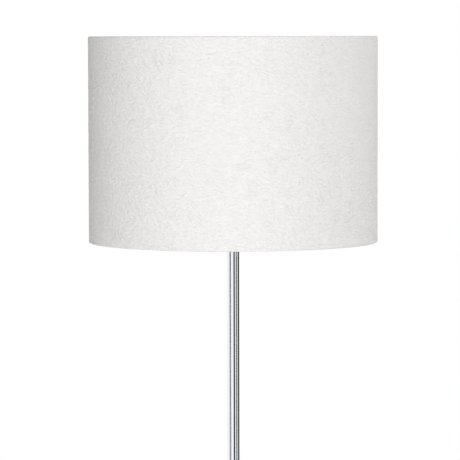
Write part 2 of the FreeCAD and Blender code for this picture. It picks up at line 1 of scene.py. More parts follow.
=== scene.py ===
"""Tripod floor lamp: the looks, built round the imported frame. Metres, +Z up, -Y is the front.

A fabric drum shade on a narrow stem of three polished rods, which splay into legs near the floor.
Every piece rides on a body of the frame; sizes come from the frame's own boxes wherever they can.
"""
import math

import bmesh
import bpy
from bpy.props import FloatProperty, IntProperty, PointerProperty, StringProperty
from mathutils import Matrix, Vector, noise


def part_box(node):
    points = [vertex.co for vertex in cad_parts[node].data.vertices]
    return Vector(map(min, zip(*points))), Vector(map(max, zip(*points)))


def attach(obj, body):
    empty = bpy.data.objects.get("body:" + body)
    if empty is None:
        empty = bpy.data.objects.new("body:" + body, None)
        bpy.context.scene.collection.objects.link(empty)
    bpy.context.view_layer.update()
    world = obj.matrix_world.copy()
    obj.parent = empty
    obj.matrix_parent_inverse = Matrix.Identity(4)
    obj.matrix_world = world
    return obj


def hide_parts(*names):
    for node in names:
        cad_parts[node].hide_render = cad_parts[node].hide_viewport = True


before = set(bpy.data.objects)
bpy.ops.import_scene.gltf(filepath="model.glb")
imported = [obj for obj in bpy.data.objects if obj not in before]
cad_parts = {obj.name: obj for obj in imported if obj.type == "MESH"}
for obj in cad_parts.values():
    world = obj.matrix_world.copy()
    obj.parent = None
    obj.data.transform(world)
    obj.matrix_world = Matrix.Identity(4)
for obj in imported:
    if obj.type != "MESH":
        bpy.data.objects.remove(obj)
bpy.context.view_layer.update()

bl_info = {
    "name": "Tripod Floor Lamp",
    "version": (1, 0, 0),
    "blender": (4, 5, 0),
    "location": "3D View > Sidebar > Floor Lamp",
    "description": "Builds a chromed tripod floor lamp with a fabric drum shade",
    "category": "Add Mesh",
}

MM = 0.001


# ---- sizes read from the frame ------------------------------------------------------------------
def low(node):
    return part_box(node)[0]


def high(node):
    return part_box(node)[1]


def ends(node):
    """Heights of a node's lowest and highest points."""
    return low(node).z, high(node).z


def outer_radius(node):
    """The largest distance of a round node's box from the stem's axis."""
    return max(*(-v for v in low(node).xy), *high(node).xy)


DIRECTIONS = {"front": -90.0, "back_right": 30.0, "back_left": 150.0}   # degrees, as the legs point
ROD_RADIUS = (high("rod_front").x - low("rod_front").x) / 2
ROD_CIRCLE = -(high("rod_front").y + low("rod_front").y) / 2
TUBE_RADIUS = outer_radius("wire_tube_upper")
SCREW_RADIUS = 1.95 * MM
FIT = 0.03 * MM     # clearance of a bore round what goes through it


# ---- settings a user would change ---------------------------------------------------------------
def length(name, text, default):
    return FloatProperty(name=name, description=text, default=default, min=0.0, subtype="DISTANCE",
                         unit="LENGTH")


def degrees(name, text, default):
    return FloatProperty(name=name, description=text, default=math.radians(default), subtype="ANGLE",
                         unit="ROTATION")


def watts(name, text, default):
    return FloatProperty(name=name, description=text + ", in watts", default=default)


def colour(name, text, default):
    return StringProperty(name=name, description=text, default=default)


class LampStand(bpy.types.PropertyGroup):
    """Sizes of the rods, the legs and the feet."""
    leg_angle: degrees("Leg angle", "Slope of a leg from the vertical", 32)
    bend_radius: length("Bend radius", "Radius of the bend below the collar", 200 * MM)
    foot_circle: length("Foot circle", "Distance of a leg's line from the axis at the floor", 206 * MM)
    end_lift: length("End lift", "Height of a leg's end inside its foot", 5 * MM)
    round_segments: IntProperty(name="Round segments", description="Facets round a bar", default=48, min=12)


class LampShade(bpy.types.PropertyGroup):
    """Sizes of the drum shade."""
    fabric_thickness: length("Fabric thickness", "Fabric with its nap", 0.6 * MM)
    liner_thickness: length("Liner thickness", "Stiff sheet behind the fabric", 0.4 * MM)
    hem_radius: length("Hem radius", "Outside radius of the rolled hem", 2.58 * MM)
    hem_tuck: length("Hem tuck", "How far the hem comes back past the wire", 1.4 * MM)
    overlap: length("Overlap", "Width of the glued seam at the back", 12 * MM)
    wrinkle: length("Wrinkle", "Height of the soft unevenness pressed into the fabric", 0.10 * MM)
    crush: length("Crush", "Depth of the crushed nap's hollows", 0.38 * MM)
    columns: IntProperty(name="Columns", description="Points round the drum", default=560, min=48)
    rows: IntProperty(name="Rows", description="Points up the wall", default=108, min=4)


class LampColours(bpy.types.PropertyGroup):
    """Colours as sRGB hex values."""
    fabric: colour("Fabric", "Brushed polyester", "#F1F0EE")
    # Painted shade: the darker colour that the fabric takes in the hollows between the nap's strokes.
    fabric_shadow: colour("Fabric shadow", "Between the nap's strokes", "#ECEAE8")
    liner: colour("Liner", "Styrene sheet", "#F2F1EC")
    wire: colour("Wire", "Powder coat on the shade's wires", "#ECEBE6")
    plastic: colour("Plastic", "Moulded thermoplastic", "#EDECE7")
    rubber: colour("Rubber", "Feet", "#1B1B1D")
    chrome: colour("Chrome", "Plating", "#CDCFD2")
    floor: colour("Floor", "Studio floor", "#F4F4F3")


class LampStudio(bpy.types.PropertyGroup):
    """Camera and light."""
    camera_distance: length("Camera distance", "From the stem's axis", 4.70)
    camera_height: length("Camera height", "Height of the eye over the floor", 1.550)
    camera_turn: degrees("Camera turn", "Turn of the camera round the lamp, to its left", -1.0)
    camera_roll: degrees("Camera roll", "Roll of the camera about its own axis", -0.12)
    focal_length: FloatProperty(name="Focal length", description="Lens, in millimetres on a 36 mm sensor",
                                default=236.4)
    aim_height: length("Aim height", "Height that the camera looks at", 1.2483)
    aim_side: FloatProperty(name="Aim side", description="How far left of the axis the camera looks",
                            default=5.0 * MM, subtype="DISTANCE", unit="LENGTH")
    key_power: watts("Key power", "Large soft light over the camera", 61.0)
    side_power: watts("Side power", "Soft light at the right", 30.0)
    back_power: watts("Back power", "Soft light behind the lamp", 40.0)


# ---- small tools --------------------------------------------------------------------------------
def linear(hex_colour, alpha=1.0):
    """An sRGB hex colour as the linear RGBA that shaders take."""
    channels = [int(hex_colour[i:i + 2], 16) / 255 for i in (1, 3, 5)]
    return (*(c / 12.92 if c <= 0.04045 else ((c + 0.055) / 1.055) ** 2.4 for c in channels), alpha)


def add(tree, kind, settings=None, inputs=None):
    """Add a node: its settings, then its inputs, each a value or another node's socket."""
    node = tree.nodes.new(kind)
    for name, value in (settings or {}).items():
        setattr(node, name, value)
    for key, value in (inputs or {}).items():
        if isinstance(value, bpy.types.NodeSocket):
            tree.links.new(value, node.inputs[key])
        else:
            node.inputs[key].default_value = value
    return node


def angle_of(direction):
    return math.radians(DIRECTIONS[direction])


def evenly(start, end, count):
    """Values from start to end in this many equal steps."""
    return [start + (end - start) * k / count for k in range(count + 1)]


def clamp(value):
    """The value, kept between 0 and 1."""
    return min(1, max(0, value))


def wave(count, angle):
    """A smooth wave between 0 and 1, this many times round the turn."""
    return 0.5 + 0.5 * math.cos(count * angle)


def apart(angle, other):
    """The smaller turn between two angles."""
    return abs((angle - other + math.pi) % math.tau - math.pi)


def in_scene(name, data):
    """An object in the scene that holds this data."""
    made = bpy.data.objects.new(name, data)
    bpy.context.scene.collection.objects.link(made)
    return made


def discard(piece):
    """Remove an object, and its mesh if nothing else uses it."""
    data = piece.data
    bpy.data.objects.remove(piece)
    if data.users == 0 and isinstance(data, bpy.types.Mesh):
        bpy.data.meshes.remove(data)


def lathe(name, profile, segments=96, closed=True, radius_at=None):
    """A mesh spun about the Z axis from (radius, height) points; a closed outline makes a solid of it.

    radius_at(angle, index, radius) may change a point's radius round the turn, as on a thread.
    """
    mesh = bmesh.new()
    rings = []
    for index, (radius, height) in enumerate(profile):
        if radius < 1e-7:
            rings.append([mesh.verts.new((0, 0, height))] * segments)
            continue
        ring = []
        for k in range(segments):
            a = math.tau * k / segments
            r = radius_at(a, index, radius) if radius_at else radius
            ring.append(mesh.verts.new((r * math.cos(a), r * math.sin(a), height)))
        rings.append(ring)
    for first, second in zip(rings, rings[1:] + rings[:1] if closed else rings[1:]):
        for k in range(segments):
            corners = []
            for vertex in (first[k], first[(k + 1) % segments], second[(k + 1) % segments], second[k]):
                if vertex not in corners:
                    corners.append(vertex)
            if len(corners) > 2:
                mesh.faces.new(corners)
    return object_from(name, mesh)


def object_from(name, mesh, sharp=35):
    """An object in the scene from a bmesh, smooth with its sharp edges kept."""
    bmesh.ops.recalc_face_normals(mesh, faces=mesh.faces)
    data = bpy.data.meshes.new(name)
    mesh.to_mesh(data)
    mesh.free()
    made = in_scene(name, data)
    shade(made, sharp)
    return made


def shade(piece, sharp=35):
    piece.data.polygons.foreach_set("use_smooth", [True] * len(piece.data.polygons))
    piece.data.set_sharp_from_angle(angle=math.radians(sharp))


def softened(outline, radius, steps=4):
    """A closed outline with each corner rounded, by no more than its sides allow."""
    rounded = []
    count = len(outline)
    for i, corner in enumerate(outline):
        corner = Vector(corner)
        before = Vector(outline[i - 1]) - corner
        after = Vector(outline[(i + 1) % count]) - corner
        half = before.angle(after, math.pi) / 2
        if corner.x < 1e-7 or half > math.radians(80):      # on the axis, or hardly a corner
            rounded.append(tuple(corner))
            continue
        reach = min(radius / math.tan(half), 0.45 * before.length, 0.45 * after.length)
        start = corner + before.normalized() * reach
        end = corner + after.normalized() * reach
        for k in range(steps + 1):
            t = k / steps
            rounded.append(tuple((1 - t) ** 2 * start + 2 * t * (1 - t) * corner + t ** 2 * end))
    return rounded


def evaluated_copy(name, source, sharp=35):
    """The source with its modifiers as a plain mesh; the source is removed."""
    graph = bpy.context.evaluated_depsgraph_get()
    data = bpy.data.meshes.new_from_object(source.evaluated_get(graph), depsgraph=graph)
    discard(source)
    data.name = name
    made = in_scene(name, data)
    shade(made, sharp)
    return made


def cylinder(radius, start, along, segments=40):
    """A plain round bar from a point along a vector, for drilling."""
    mesh = bmesh.new()
    along = Vector(along)
    turn = along.to_track_quat("Z", "Y").to_matrix().to_4x4()
    place = Matrix.Translation(Vector(start) + along / 2) @ turn
    bmesh.ops.create_cone(mesh, cap_ends=True, segments=segments, radius1=radius, radius2=radius,
                          depth=along.length, matrix=place)
    return object_from("drill", mesh)


def combine(body, other, operation):
    """Join another object to the body, or take it out of the body."""
    step = body.modifiers.new("step", "BOOLEAN")
    step.operation, step.solver, step.object = operation, "EXACT", other


def drilled(name, body, drills, sharp=35):
    """The body with each drill taken out of it."""
    for drill in drills:
        combine(body, drill, "DIFFERENCE")
    made = evaluated_copy(name, body, sharp)
    for drill in drills:
        discard(drill)
    return made


def placed(piece, body, material, slot, *replaced):
    """Give a piece its material and its body, and hide the frame's nodes that it stands for; slot is not
    used.
    """
    piece.data.materials.clear()
    piece.data.materials.append(material)
    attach(piece, body)
    if replaced:
        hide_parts(*replaced)
    return piece


def dressed(material, *nodes):
    """Give frame nodes that stay as they are their material."""
    for name in nodes:
        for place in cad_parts[name].material_slots:
            place.material = material


# ---- materials ----------------------------------------------------------------------------------
def new_material(name):
    """An empty node material and its tree."""
    made = bpy.data.materials.new(name)
    made.use_nodes = True
    made.node_tree.nodes.clear()
    return made, made.node_tree


def surfaced(tree, inputs):
    """End a material in a Principled shader with these inputs."""
    shader = add(tree, "ShaderNodeBsdfPrincipled", inputs=inputs)
    add(tree, "ShaderNodeOutputMaterial", inputs={"Surface": shader.outputs["BSDF"]})


def once(build):
    """Build something the first time it is asked for, and hand back the same one after that."""
    kept = []

    def ask():
        if not kept:
            kept.append(build())
        return kept[0]
    return ask


def per_metre(millimetres):
    """A texture scale whose features are this long, on coordinates in metres."""
    return 1 / (millimetres * MM)


def object_noise(tree, millimetres, detail=2.0, stretch=(1, 1, 1)):
    """Noise on the piece's own coordinates, with features of this size."""
    place = add(tree, "ShaderNodeTexCoord")
    sized = add(tree, "ShaderNodeMapping", inputs={"Vector": place.outputs["Object"], "Scale": stretch})
    return add(tree, "ShaderNodeTexNoise", inputs={
        "Vector": sized.outputs["Vector"], "Scale": per_metre(millimetres), "Detail": detail}).outputs["Fac"]


def spread(low_end, high_end, start=0.3, end=0.7):
    """Range settings that stretch the middle of a texture between two ends."""
    return {"From Min": start, "From Max": end, "To Min": low_end, "To Max": high_end}


def graded(ramp, dark, bright):
    """Run a colour ramp between two hex colours."""
    for stop, colour in zip(ramp.color_ramp.elements, (dark, bright)):
        stop.color = linear(colour)
    return ramp.outputs["Color"]


@once
def polished_chrome():
    """Decorative chrome on buffed steel: near-mirror, with the plating's faint waviness and wiping haze."""
    made, tree = new_material("polished chrome plate")
    haze = object_noise(tree, 22, detail=3, stretch=(1, 1, 0.3))
    gloss = add(tree, "ShaderNodeMapRange", inputs={"Value": haze, **spread(0.012, 0.04)})
    wave = add(tree, "ShaderNodeBump", inputs={
        "Height": object_noise(tree, 9, detail=1), "Distance": 0.002 * MM, "Strength": 0.5})
    surfaced(tree, {"Base Color": linear(bpy.context.scene.lamp_colours.chrome), "Metallic": 1.0,
                    "Roughness": gloss.outputs["Result"], "Normal": wave.outputs["Normal"]})
    return made


def strokes(tree, place, turn, long, wide):
    """Soft strokes of this length and width in millimetres, leaning by this many degrees."""
    laid = add(tree, "ShaderNodeMapping", {"vector_type": "TEXTURE"}, {
        "Vector": place, "Rotation": (0, 0, math.radians(turn)), "Scale": (long * MM, wide * MM, wide * MM)})
    return add(tree, "ShaderNodeTexNoise", inputs={
        "Vector": laid.outputs["Vector"], "Scale": 1.0, "Detail": 2.0, "Roughness": 0.5,
        "Distortion": 0.5}).outputs["Fac"]


@once
def brushed_fabric():
    """Brushed polyester: matt white, a soft sheen, slanting strokes in the crushed pile and painted shade in
    its hollows.
    """
    made, tree = new_material("brushed polyester nap")
    colours = bpy.context.scene.lamp_colours
    cut = add(tree, "ShaderNodeAttribute", {"attribute_name": "cut"}).outputs["Vector"]
    patch = add(tree, "ShaderNodeTexNoise", inputs={"Vector": cut, "Scale": per_metre(45), "Detail": 2})
    share = add(tree, "ShaderNodeMapRange", inputs={
        "Value": patch.outputs["Fac"], **spread(0.1, 0.9, 0.35, 0.65)})
    laid = []
    for leanings in (((8, 9.0, 2.4), (-20, 8.0, 2.2)), ((40, 9.0, 3.8), (-44, 9.0, 3.6))):
        first, second = [strokes(tree, cut, *leaning) for leaning in leanings]
        laid.append(add(tree, "ShaderNodeMix", {"data_type": "FLOAT"}, {
            0: share.outputs["Result"], 2: first, 3: second}).outputs["Result"])
    nap, crush = laid
    fibre = add(tree, "ShaderNodeTexNoise", inputs={
        "Vector": cut, "Scale": per_metre(0.7), "Detail": 2, "Roughness": 0.6})
    crushed = add(tree, "ShaderNodeMath", {"operation": "MULTIPLY_ADD"}, {0: crush, 1: 0.8, 2: nap})
    height = add(tree, "ShaderNodeMath", {"operation": "MULTIPLY_ADD"}, {
        0: fibre.outputs["Fac"], 1: 0.12, 2: crushed.outputs["Value"]})
    relief = add(tree, "ShaderNodeBump", inputs={
        "Height": height.outputs["Value"], "Distance": 2.5 * MM, "Strength": 1.0})
    # Painted shade: the colour runs from the fabric-shadow colour in the pile's hollows, where the nap is
    # low, to the fabric colour on its raised strokes.
    painted_nap_shade = add(tree, "ShaderNodeMapRange", inputs={"Value": nap, **spread(0, 1, 0.38, 0.6)})
    ramp = add(tree, "ShaderNodeValToRGB", inputs={"Fac": painted_nap_shade.outputs["Result"]})
    surfaced(tree, {"Base Color": graded(ramp, colours.fabric_shadow, colours.fabric), "Roughness": 0.95,
                    "Sheen Weight": 0.04, "Sheen Roughness": 0.4, "Specular IOR Level": 0.1,
                    "Normal": relief.outputs["Normal"]})
    return made


# Plain finishes: a darker and a brighter colour (a hex value, or a colour of the settings), the roughness,
# the size and the depth of the grain in millimetres, and what differs from PLAIN or METAL.
FINISHES = {
    # Self-extinguishing styrene sheet: bright, even white with a satin face.
    "styrene sheet": ("#ECEAE4", "liner", 0.43, 1.2, 0.02, {
        "cloud": 60, "detail": 2, "strength": 0.4, "values": {"Specular IOR Level": 0.45}}),
    # Epoxy powder on steel wire: satin with a fine orange peel.
    "white powder coat": ("#E2E1DB", "wire", 0.36, 0.9, 0.03, {}),
    # Injection-moulded PBT: satin white with a spark-eroded grain.
    "moulded PBT": ("#E3E2DC", "plastic", 0.42, 0.5, 0.02, {}),
    # Moulded nitrile rubber: near-black, dull, with a dusty bloom.
    "moulded rubber": ("#151516", "rubber", 0.72, 0.8, 0.05, {}),
    # Moulded black nylon: low sheen with a fine grain.
    "black polyamide": ("#111213", "#1C1D1F", 0.5, 0.5, 0.03, {}),
    # Unglazed pressed steatite: chalky off-white.
    "pressed steatite": ("#D8D2C3", "#E9E4D8", 0.68, 0.4, 0.04, {}),
    # Black glass bead in the bulb's cap: smooth and dark.
    "black glass": ("#08080A", "#101014", 0.12, 2.0, 0.005, {}),
    # Opal polycarbonate with a light diffusing frost.
    "opal polycarbonate": ("#F0EFEA", "#F7F6F2", 0.3, 0.6, 0.01, {"values": {"Coat Weight": 0.1}}),
    # Solder mask on an aluminium board: even white, half matt.
    "white solder mask": ("#E2E6E2", "#EEF0EC", 0.4, 0.5, 0.01, {}),
    # Yellow phosphor gel over the light sources, unlit.
    "phosphor gel": ("#D9B83F", "#E8CC5E", 0.3, 0.6, 0.01, {}),
    # Extruded white PVC between the rods: smooth, with a slow waviness.
    "extruded white PVC": ("#EEEDEA", "#F5F4F1", 0.34, 3.0, 0.01, {}),
    # Bright zinc on steel screws, nuts and studs: bluish grey, slightly blotched.
    "bright zinc plate": ("#9FA4A8", "#BFC3C6", 0.28, 0.6, 0.01, {"metal": True}),
    # Stamped brass: yellow, with rolling lines.
    "stamped brass": ("#B48D43", "#CBA765", 0.26, 0.5, 0.01, {"metal": True, "stretch": (1, 4, 1)}),
    # Nickel on a deep-drawn cap: warm grey.
    "nickel plate": ("#B9B2A6", "#CFC9BE", 0.2, 0.7, 0.01, {"metal": True, "stretch": (1, 1, 3)}),
}
PLAIN = {"cloud": 14, "detail": 3, "strength": 0.5, "stretch": (1, 1, 1), "metal": False, "values": {}}
METAL = {**PLAIN, "cloud": 6, "strength": 0.4, "values": {"Metallic": 1.0}}


def finish(name):
    """A plain finish: cloudy colour, a fine grain in relief, and gloss that varies with one of the two."""
    if name in bpy.data.materials:
        return bpy.data.materials[name]
    made, tree = new_material(name)
    dark, bright, roughness, size, depth, differs = FINISHES[name]
    given = {**(METAL if "metal" in differs else PLAIN), **differs}
    grain = object_noise(tree, size, given["detail"], given["stretch"])
    cloud = object_noise(tree, given["cloud"])
    ramp = add(tree, "ShaderNodeValToRGB", inputs={"Fac": cloud})
    bright = getattr(bpy.context.scene.lamp_colours, bright, bright)
    below, above = (0.06, 0.1) if given["metal"] else (0.05, 0.07)
    gloss = add(tree, "ShaderNodeMapRange", inputs={
        "Value": grain if given["metal"] else cloud, **spread(roughness - below, roughness + above)})
    relief = add(tree, "ShaderNodeBump", inputs={
        "Height": grain, "Distance": depth * MM, "Strength": given["strength"]})
    surfaced(tree, {"Base Color": graded(ramp, dark, bright), "Roughness": gloss.outputs["Result"],
                    "Normal": relief.outputs["Normal"], **given["values"]})
    return made


# ---- bars that follow a path --------------------------------------------------------------------
def new_tree(name, inputs):
    """A Geometry Nodes tree with geometry, these named inputs and a material going in; and what they give."""
    tree = bpy.data.node_groups.new(name, "GeometryNodeTree")
    for title, kind, default in (("Geometry", "Geometry", None), *inputs, ("Material", "Material", None)):
        made = tree.interface.new_socket(name=title, in_out="INPUT", socket_type="NodeSocket" + kind)
        if default is not None:
            made.default_value = default
    tree.interface.new_socket(name="Geometry", in_out="OUTPUT", socket_type="NodeSocketGeometry")
    return tree, add(tree, "NodeGroupInput").outputs


def ended(tree, geometry, material):
    """Realise a tree's geometry, give it its material and send it out."""
    real = add(tree, "GeometryNodeRealizeInstances", inputs={"Geometry": geometry})
    painted = add(tree, "GeometryNodeSetMaterial", inputs={"Geometry": real.outputs[0], "Material": material})
    add(tree, "NodeGroupOutput", inputs={"Geometry": painted.outputs[0]})
    return tree


@once
def bar_tree():
    """Geometry Nodes: a round bar of the given radius along the object's curve."""
    tree, given = new_tree("round bar", (("Radius", "Float", ROD_RADIUS), ("Round Segments", "Int", 48)))
    ring = add(tree, "GeometryNodeCurvePrimitiveCircle", inputs={
        "Resolution": given["Round Segments"], "Radius": given["Radius"]})
    made = add(tree, "GeometryNodeCurveToMesh", inputs={
        "Curve": given["Geometry"], "Profile Curve": ring.outputs["Curve"], "Fill Caps": True})
    return ended(tree, made.outputs["Mesh"], given["Material"])


def grown(name, source, tree, values, sharp=35):
    """Run a Geometry Nodes tree on an object with these inputs, and keep the result as a plain mesh."""
    modifier = source.modifiers.new(tree.name, "NODES")
    modifier.node_group = tree
    for item in tree.interface.items_tree:
        if item.item_type == "SOCKET" and item.in_out == "INPUT" and item.name in values:
            modifier[item.identifier] = values[item.name]
    return evaluated_copy(name, source, sharp)


def bar(name, points, radius, material):
    """A round bar through points, which already carry its bends."""
    curve = bpy.data.curves.new(name, "CURVE")
    curve.dimensions = "3D"
    spline = curve.splines.new("POLY")
    spline.points.add(len(points) - 1)
    for place, point in zip(spline.points, points):
        place.co = (*point, 1)
    segments = bpy.context.scene.lamp_stand.round_segments
    return grown(name, in_scene(name, curve), bar_tree(), {
        "Radius": radius, "Round Segments": segments, "Material": material})


def turned_points(points, angle):
    turn = Matrix.Rotation(angle, 3, "Z")
    return [turn @ Vector(p) for p in points]


def leg_points(stand, top):
    """From the coupling down through the bend to the foot, in the XZ plane."""
    slope = stand.leg_angle
    reach = stand.bend_radius * (1 - math.cos(slope))
    straight_top = (stand.foot_circle - ROD_CIRCLE - reach) / math.tan(slope)
    bend_top = straight_top + stand.bend_radius * math.sin(slope)
    points = [(ROD_CIRCLE, 0, top)]
    for a in evenly(0, slope, 28):
        points.append((ROD_CIRCLE + stand.bend_radius * (1 - math.cos(a)), 0,
                       bend_top - stand.bend_radius * math.sin(a)))
    points.append((stand.foot_circle - stand.end_lift * math.tan(slope), 0, stand.end_lift))
    return points


class LAMP_OT_rods(bpy.types.Operator):
    """Stem rods and the tube between them that hides the lead"""
    bl_idname = "lamp.rods"
    bl_label = "Stem rods"

    def execute(self, context):
        for direction in DIRECTIONS:
            node = "rod_" + direction
            points = turned_points([(ROD_CIRCLE, 0, height) for height in ends(node)], angle_of(direction))
            rod = bar("stem_" + node, points, ROD_RADIUS, polished_chrome())
            placed(rod, "stand", polished_chrome(), "polished_chrome", node)
        inside = TUBE_RADIUS - 0.5 * MM
        for node in ("wire_tube_lower", "wire_tube_upper"):
            bottom, top = ends(node)
            outline = [(TUBE_RADIUS, bottom), (TUBE_RADIUS, top), (inside, top), (inside, bottom)]
            tube = lathe(node + "_sleeve", outline, segments=48)
            placed(tube, "stand", finish("extruded white PVC"), "white_thermoplastic", node)
        return {"FINISHED"}


class LAMP_OT_legs(bpy.types.Operator):
    """Legs, bent outwards below the collar"""
    bl_idname = "lamp.legs"
    bl_label = "Legs"

    def execute(self, context):
        for direction in DIRECTIONS:
            node = "leg_" + direction
            points = turned_points(leg_points(context.scene.lamp_stand, high(node).z), angle_of(direction))
            leg = bar("bent_" + node, points, ROD_RADIUS, polished_chrome())
            placed(leg, "stand", polished_chrome(), "polished_chrome", node)
        return {"FINISHED"}


class LAMP_OT_feet(bpy.types.Operator):
    """Moulded rubber feet: a ringed sleeve that runs into a flat pad"""
    bl_idname = "lamp.feet"
    bl_label = "Feet"

    def execute(self, context):
        stand = context.scene.lamp_stand
        slope = stand.leg_angle
        sleeve_radius, sleeve_length, bead = 6 * MM, 34 * MM, 0.35 * MM
        pad_radius, pad_shoulder, pad_height = 12 * MM, 10 * MM, 6.5 * MM
        pad_reach = stand.foot_circle - pad_height / 2 * math.tan(slope)
        waist = sleeve_radius - bead
        sleeve_outline = [(0, -3 * MM), (sleeve_radius, -3 * MM)]
        for ring in (16 * MM, 20 * MM, 24 * MM):
            sleeve_outline += [(waist, ring - 1 * MM), (sleeve_radius - 2.6 * bead, ring),
                               (waist, ring + 1 * MM)]
        sleeve_outline += [(waist, sleeve_length - 3 * MM), (sleeve_radius, sleeve_length - 2 * MM),
                           (sleeve_radius - 0.4 * MM, sleeve_length - 0.4 * MM),
                           (sleeve_radius - 1.4 * MM, sleeve_length), (0, sleeve_length)]
        pad_outline = [(0, 0), (pad_radius - 0.6 * MM, 0), (pad_radius, 0.6 * MM), (pad_radius, 2.3 * MM),
                       (pad_shoulder, pad_height - 0.4 * MM), (pad_shoulder - 1.2 * MM, pad_height),
                       (0, pad_height)]
        for direction in DIRECTIONS:
            sleeve = lathe("sleeve", sleeve_outline, segments=64, closed=False)
            tilt = Matrix.Rotation(-slope, 4, "Y")
            sleeve.data.transform(Matrix.Translation((stand.foot_circle, 0, 0)) @ tilt)
            pad = lathe("pad", pad_outline, segments=80, closed=False)
            pad.data.transform(Matrix.Translation((pad_reach, 0, 0)))
            floor_cut = cylinder(60 * MM, (stand.foot_circle, 0, 0), (0, 0, -40 * MM), 16)
            combine(pad, sleeve, "UNION")
            foot = drilled("moulded_foot_" + direction, pad, [floor_cut])
            discard(sleeve)
            foot.data.transform(Matrix.Rotation(angle_of(direction), 4, "Z"))
            placed(foot, "stand", finish("moulded rubber"), "foot_rubber", "foot_" + direction)
        return {"FINISHED"}


# ---- collars, hub and their screws --------------------------------------------------------------
def turned_drum(node, grooves):
    """A turned cylinder with softened rims and a fine groove at each height."""
    r, (bottom, top) = outer_radius(node), ends(node)
    depth, half = 0.5 * MM, 0.6 * MM
    outline = [(0, bottom), (r, bottom)]
    for height in grooves:
        outline += [(r, height - half), (r - depth, height - half * 0.4), (r - depth, height + half * 0.4),
                    (r, height + half)]
    outline += [(r, top), (0, top)]
    return lathe("drum", softened(outline, 0.9 * MM, 5), segments=128, closed=False)


def rod_drills(bottom, top):
    """Drills for the three bars."""
    angles = [angle_of(direction) for direction in DIRECTIONS]
    return [cylinder(ROD_RADIUS + FIT, (ROD_CIRCLE * math.cos(a), ROD_CIRCLE * math.sin(a), bottom),
                     (0, 0, top - bottom), 64) for a in angles]


def screw_drills(heights, outside):
    """Drills for the radial set screws."""
    drills = []
    for height in heights:
        for direction in DIRECTIONS:
            a = angle_of(direction)
            along = Vector((math.cos(a), math.sin(a), 0))
            start = along * (ROD_CIRCLE + ROD_RADIUS - 0.5 * MM) + Vector((0, 0, height))
            drills.append(cylinder(2 * MM, start, along * (outside - ROD_CIRCLE + 2 * MM)))
    return drills


def screw_heights(node):
    """Heights of the rows of screws in a node, from its box."""
    bottom, top = ends(node)
    return sorted({round(bottom + SCREW_RADIUS, 5), round(top - SCREW_RADIUS, 5)})


class LAMP_OT_collars(bpy.types.Operator):
    """Splay collar, middle coupling and top hub, drilled for the bars and their screws"""
    bl_idname = "lamp.collars"
    bl_label = "Collars and hub"

    def execute(self, context):
        past = 2 * MM
        for node, drop in (("splay_collar", past), ("mid_coupling", past), ("top_hub", -6.8 * MM)):
            bottom, top = ends(node)
            middle = (bottom + top) / 2
            grooves = {"splay_collar": [], "mid_coupling": [middle - 3 * MM, middle + 3 * MM],
                       "top_hub": [top - 4 * MM]}[node]
            body = turned_drum(node, grooves)
            drills = rod_drills(bottom - past, top + drop)
            drills.append(cylinder(TUBE_RADIUS + FIT, (0, 0, bottom - past),
                                   (0, 0, top - bottom + 2 * past), 64))
            drills += screw_drills(screw_heights(node + "_screws"), outer_radius(node))
            collar = drilled(node + "_turned", body, drills, sharp=30)
            placed(collar, "stand", polished_chrome(), "polished_chrome", node)
        return {"FINISHED"}


def hexagon(angle, across):
    """Radius of a hexagon, this wide across its flats, at an angle."""
    return across / 2 / math.cos((angle + math.radians(30)) % math.radians(60) - math.radians(30))


def set_screw(size):
    """One headless screw along X, its point at the origin: cone point, thread rings and a hexagon socket."""
    radius, across, socket_depth, pitch = SCREW_RADIUS, 2.0 * MM, 1.9 * MM, 0.7 * MM
    outline = [(0, 0.0), (radius * 0.45, 0.0), (radius * 0.8, 0.5 * MM)]
    x = 0.6 * MM
    while x + pitch < size - 0.3 * MM:
        outline += [(radius * 0.86, x), (radius, x + pitch / 2)]
        x += pitch
    outline += [(radius * 0.9, size - 0.15 * MM), (radius * 0.82, size)]
    socket = len(outline)
    outline += [(across / 2, size), (across / 2, size - socket_depth), (0, size - socket_depth - 0.4 * MM)]

    def socketed(angle, index, radius):
        return hexagon(angle, across) if index >= socket else radius
    made = lathe("set_screw", outline, segments=24, closed=False, radius_at=socketed)
    made.data.transform(Matrix(((0, 0, 1, 0), (1, 0, 0, 0), (0, 1, 0, 0), (0, 0, 0, 1))))   # Z becomes X
    return made


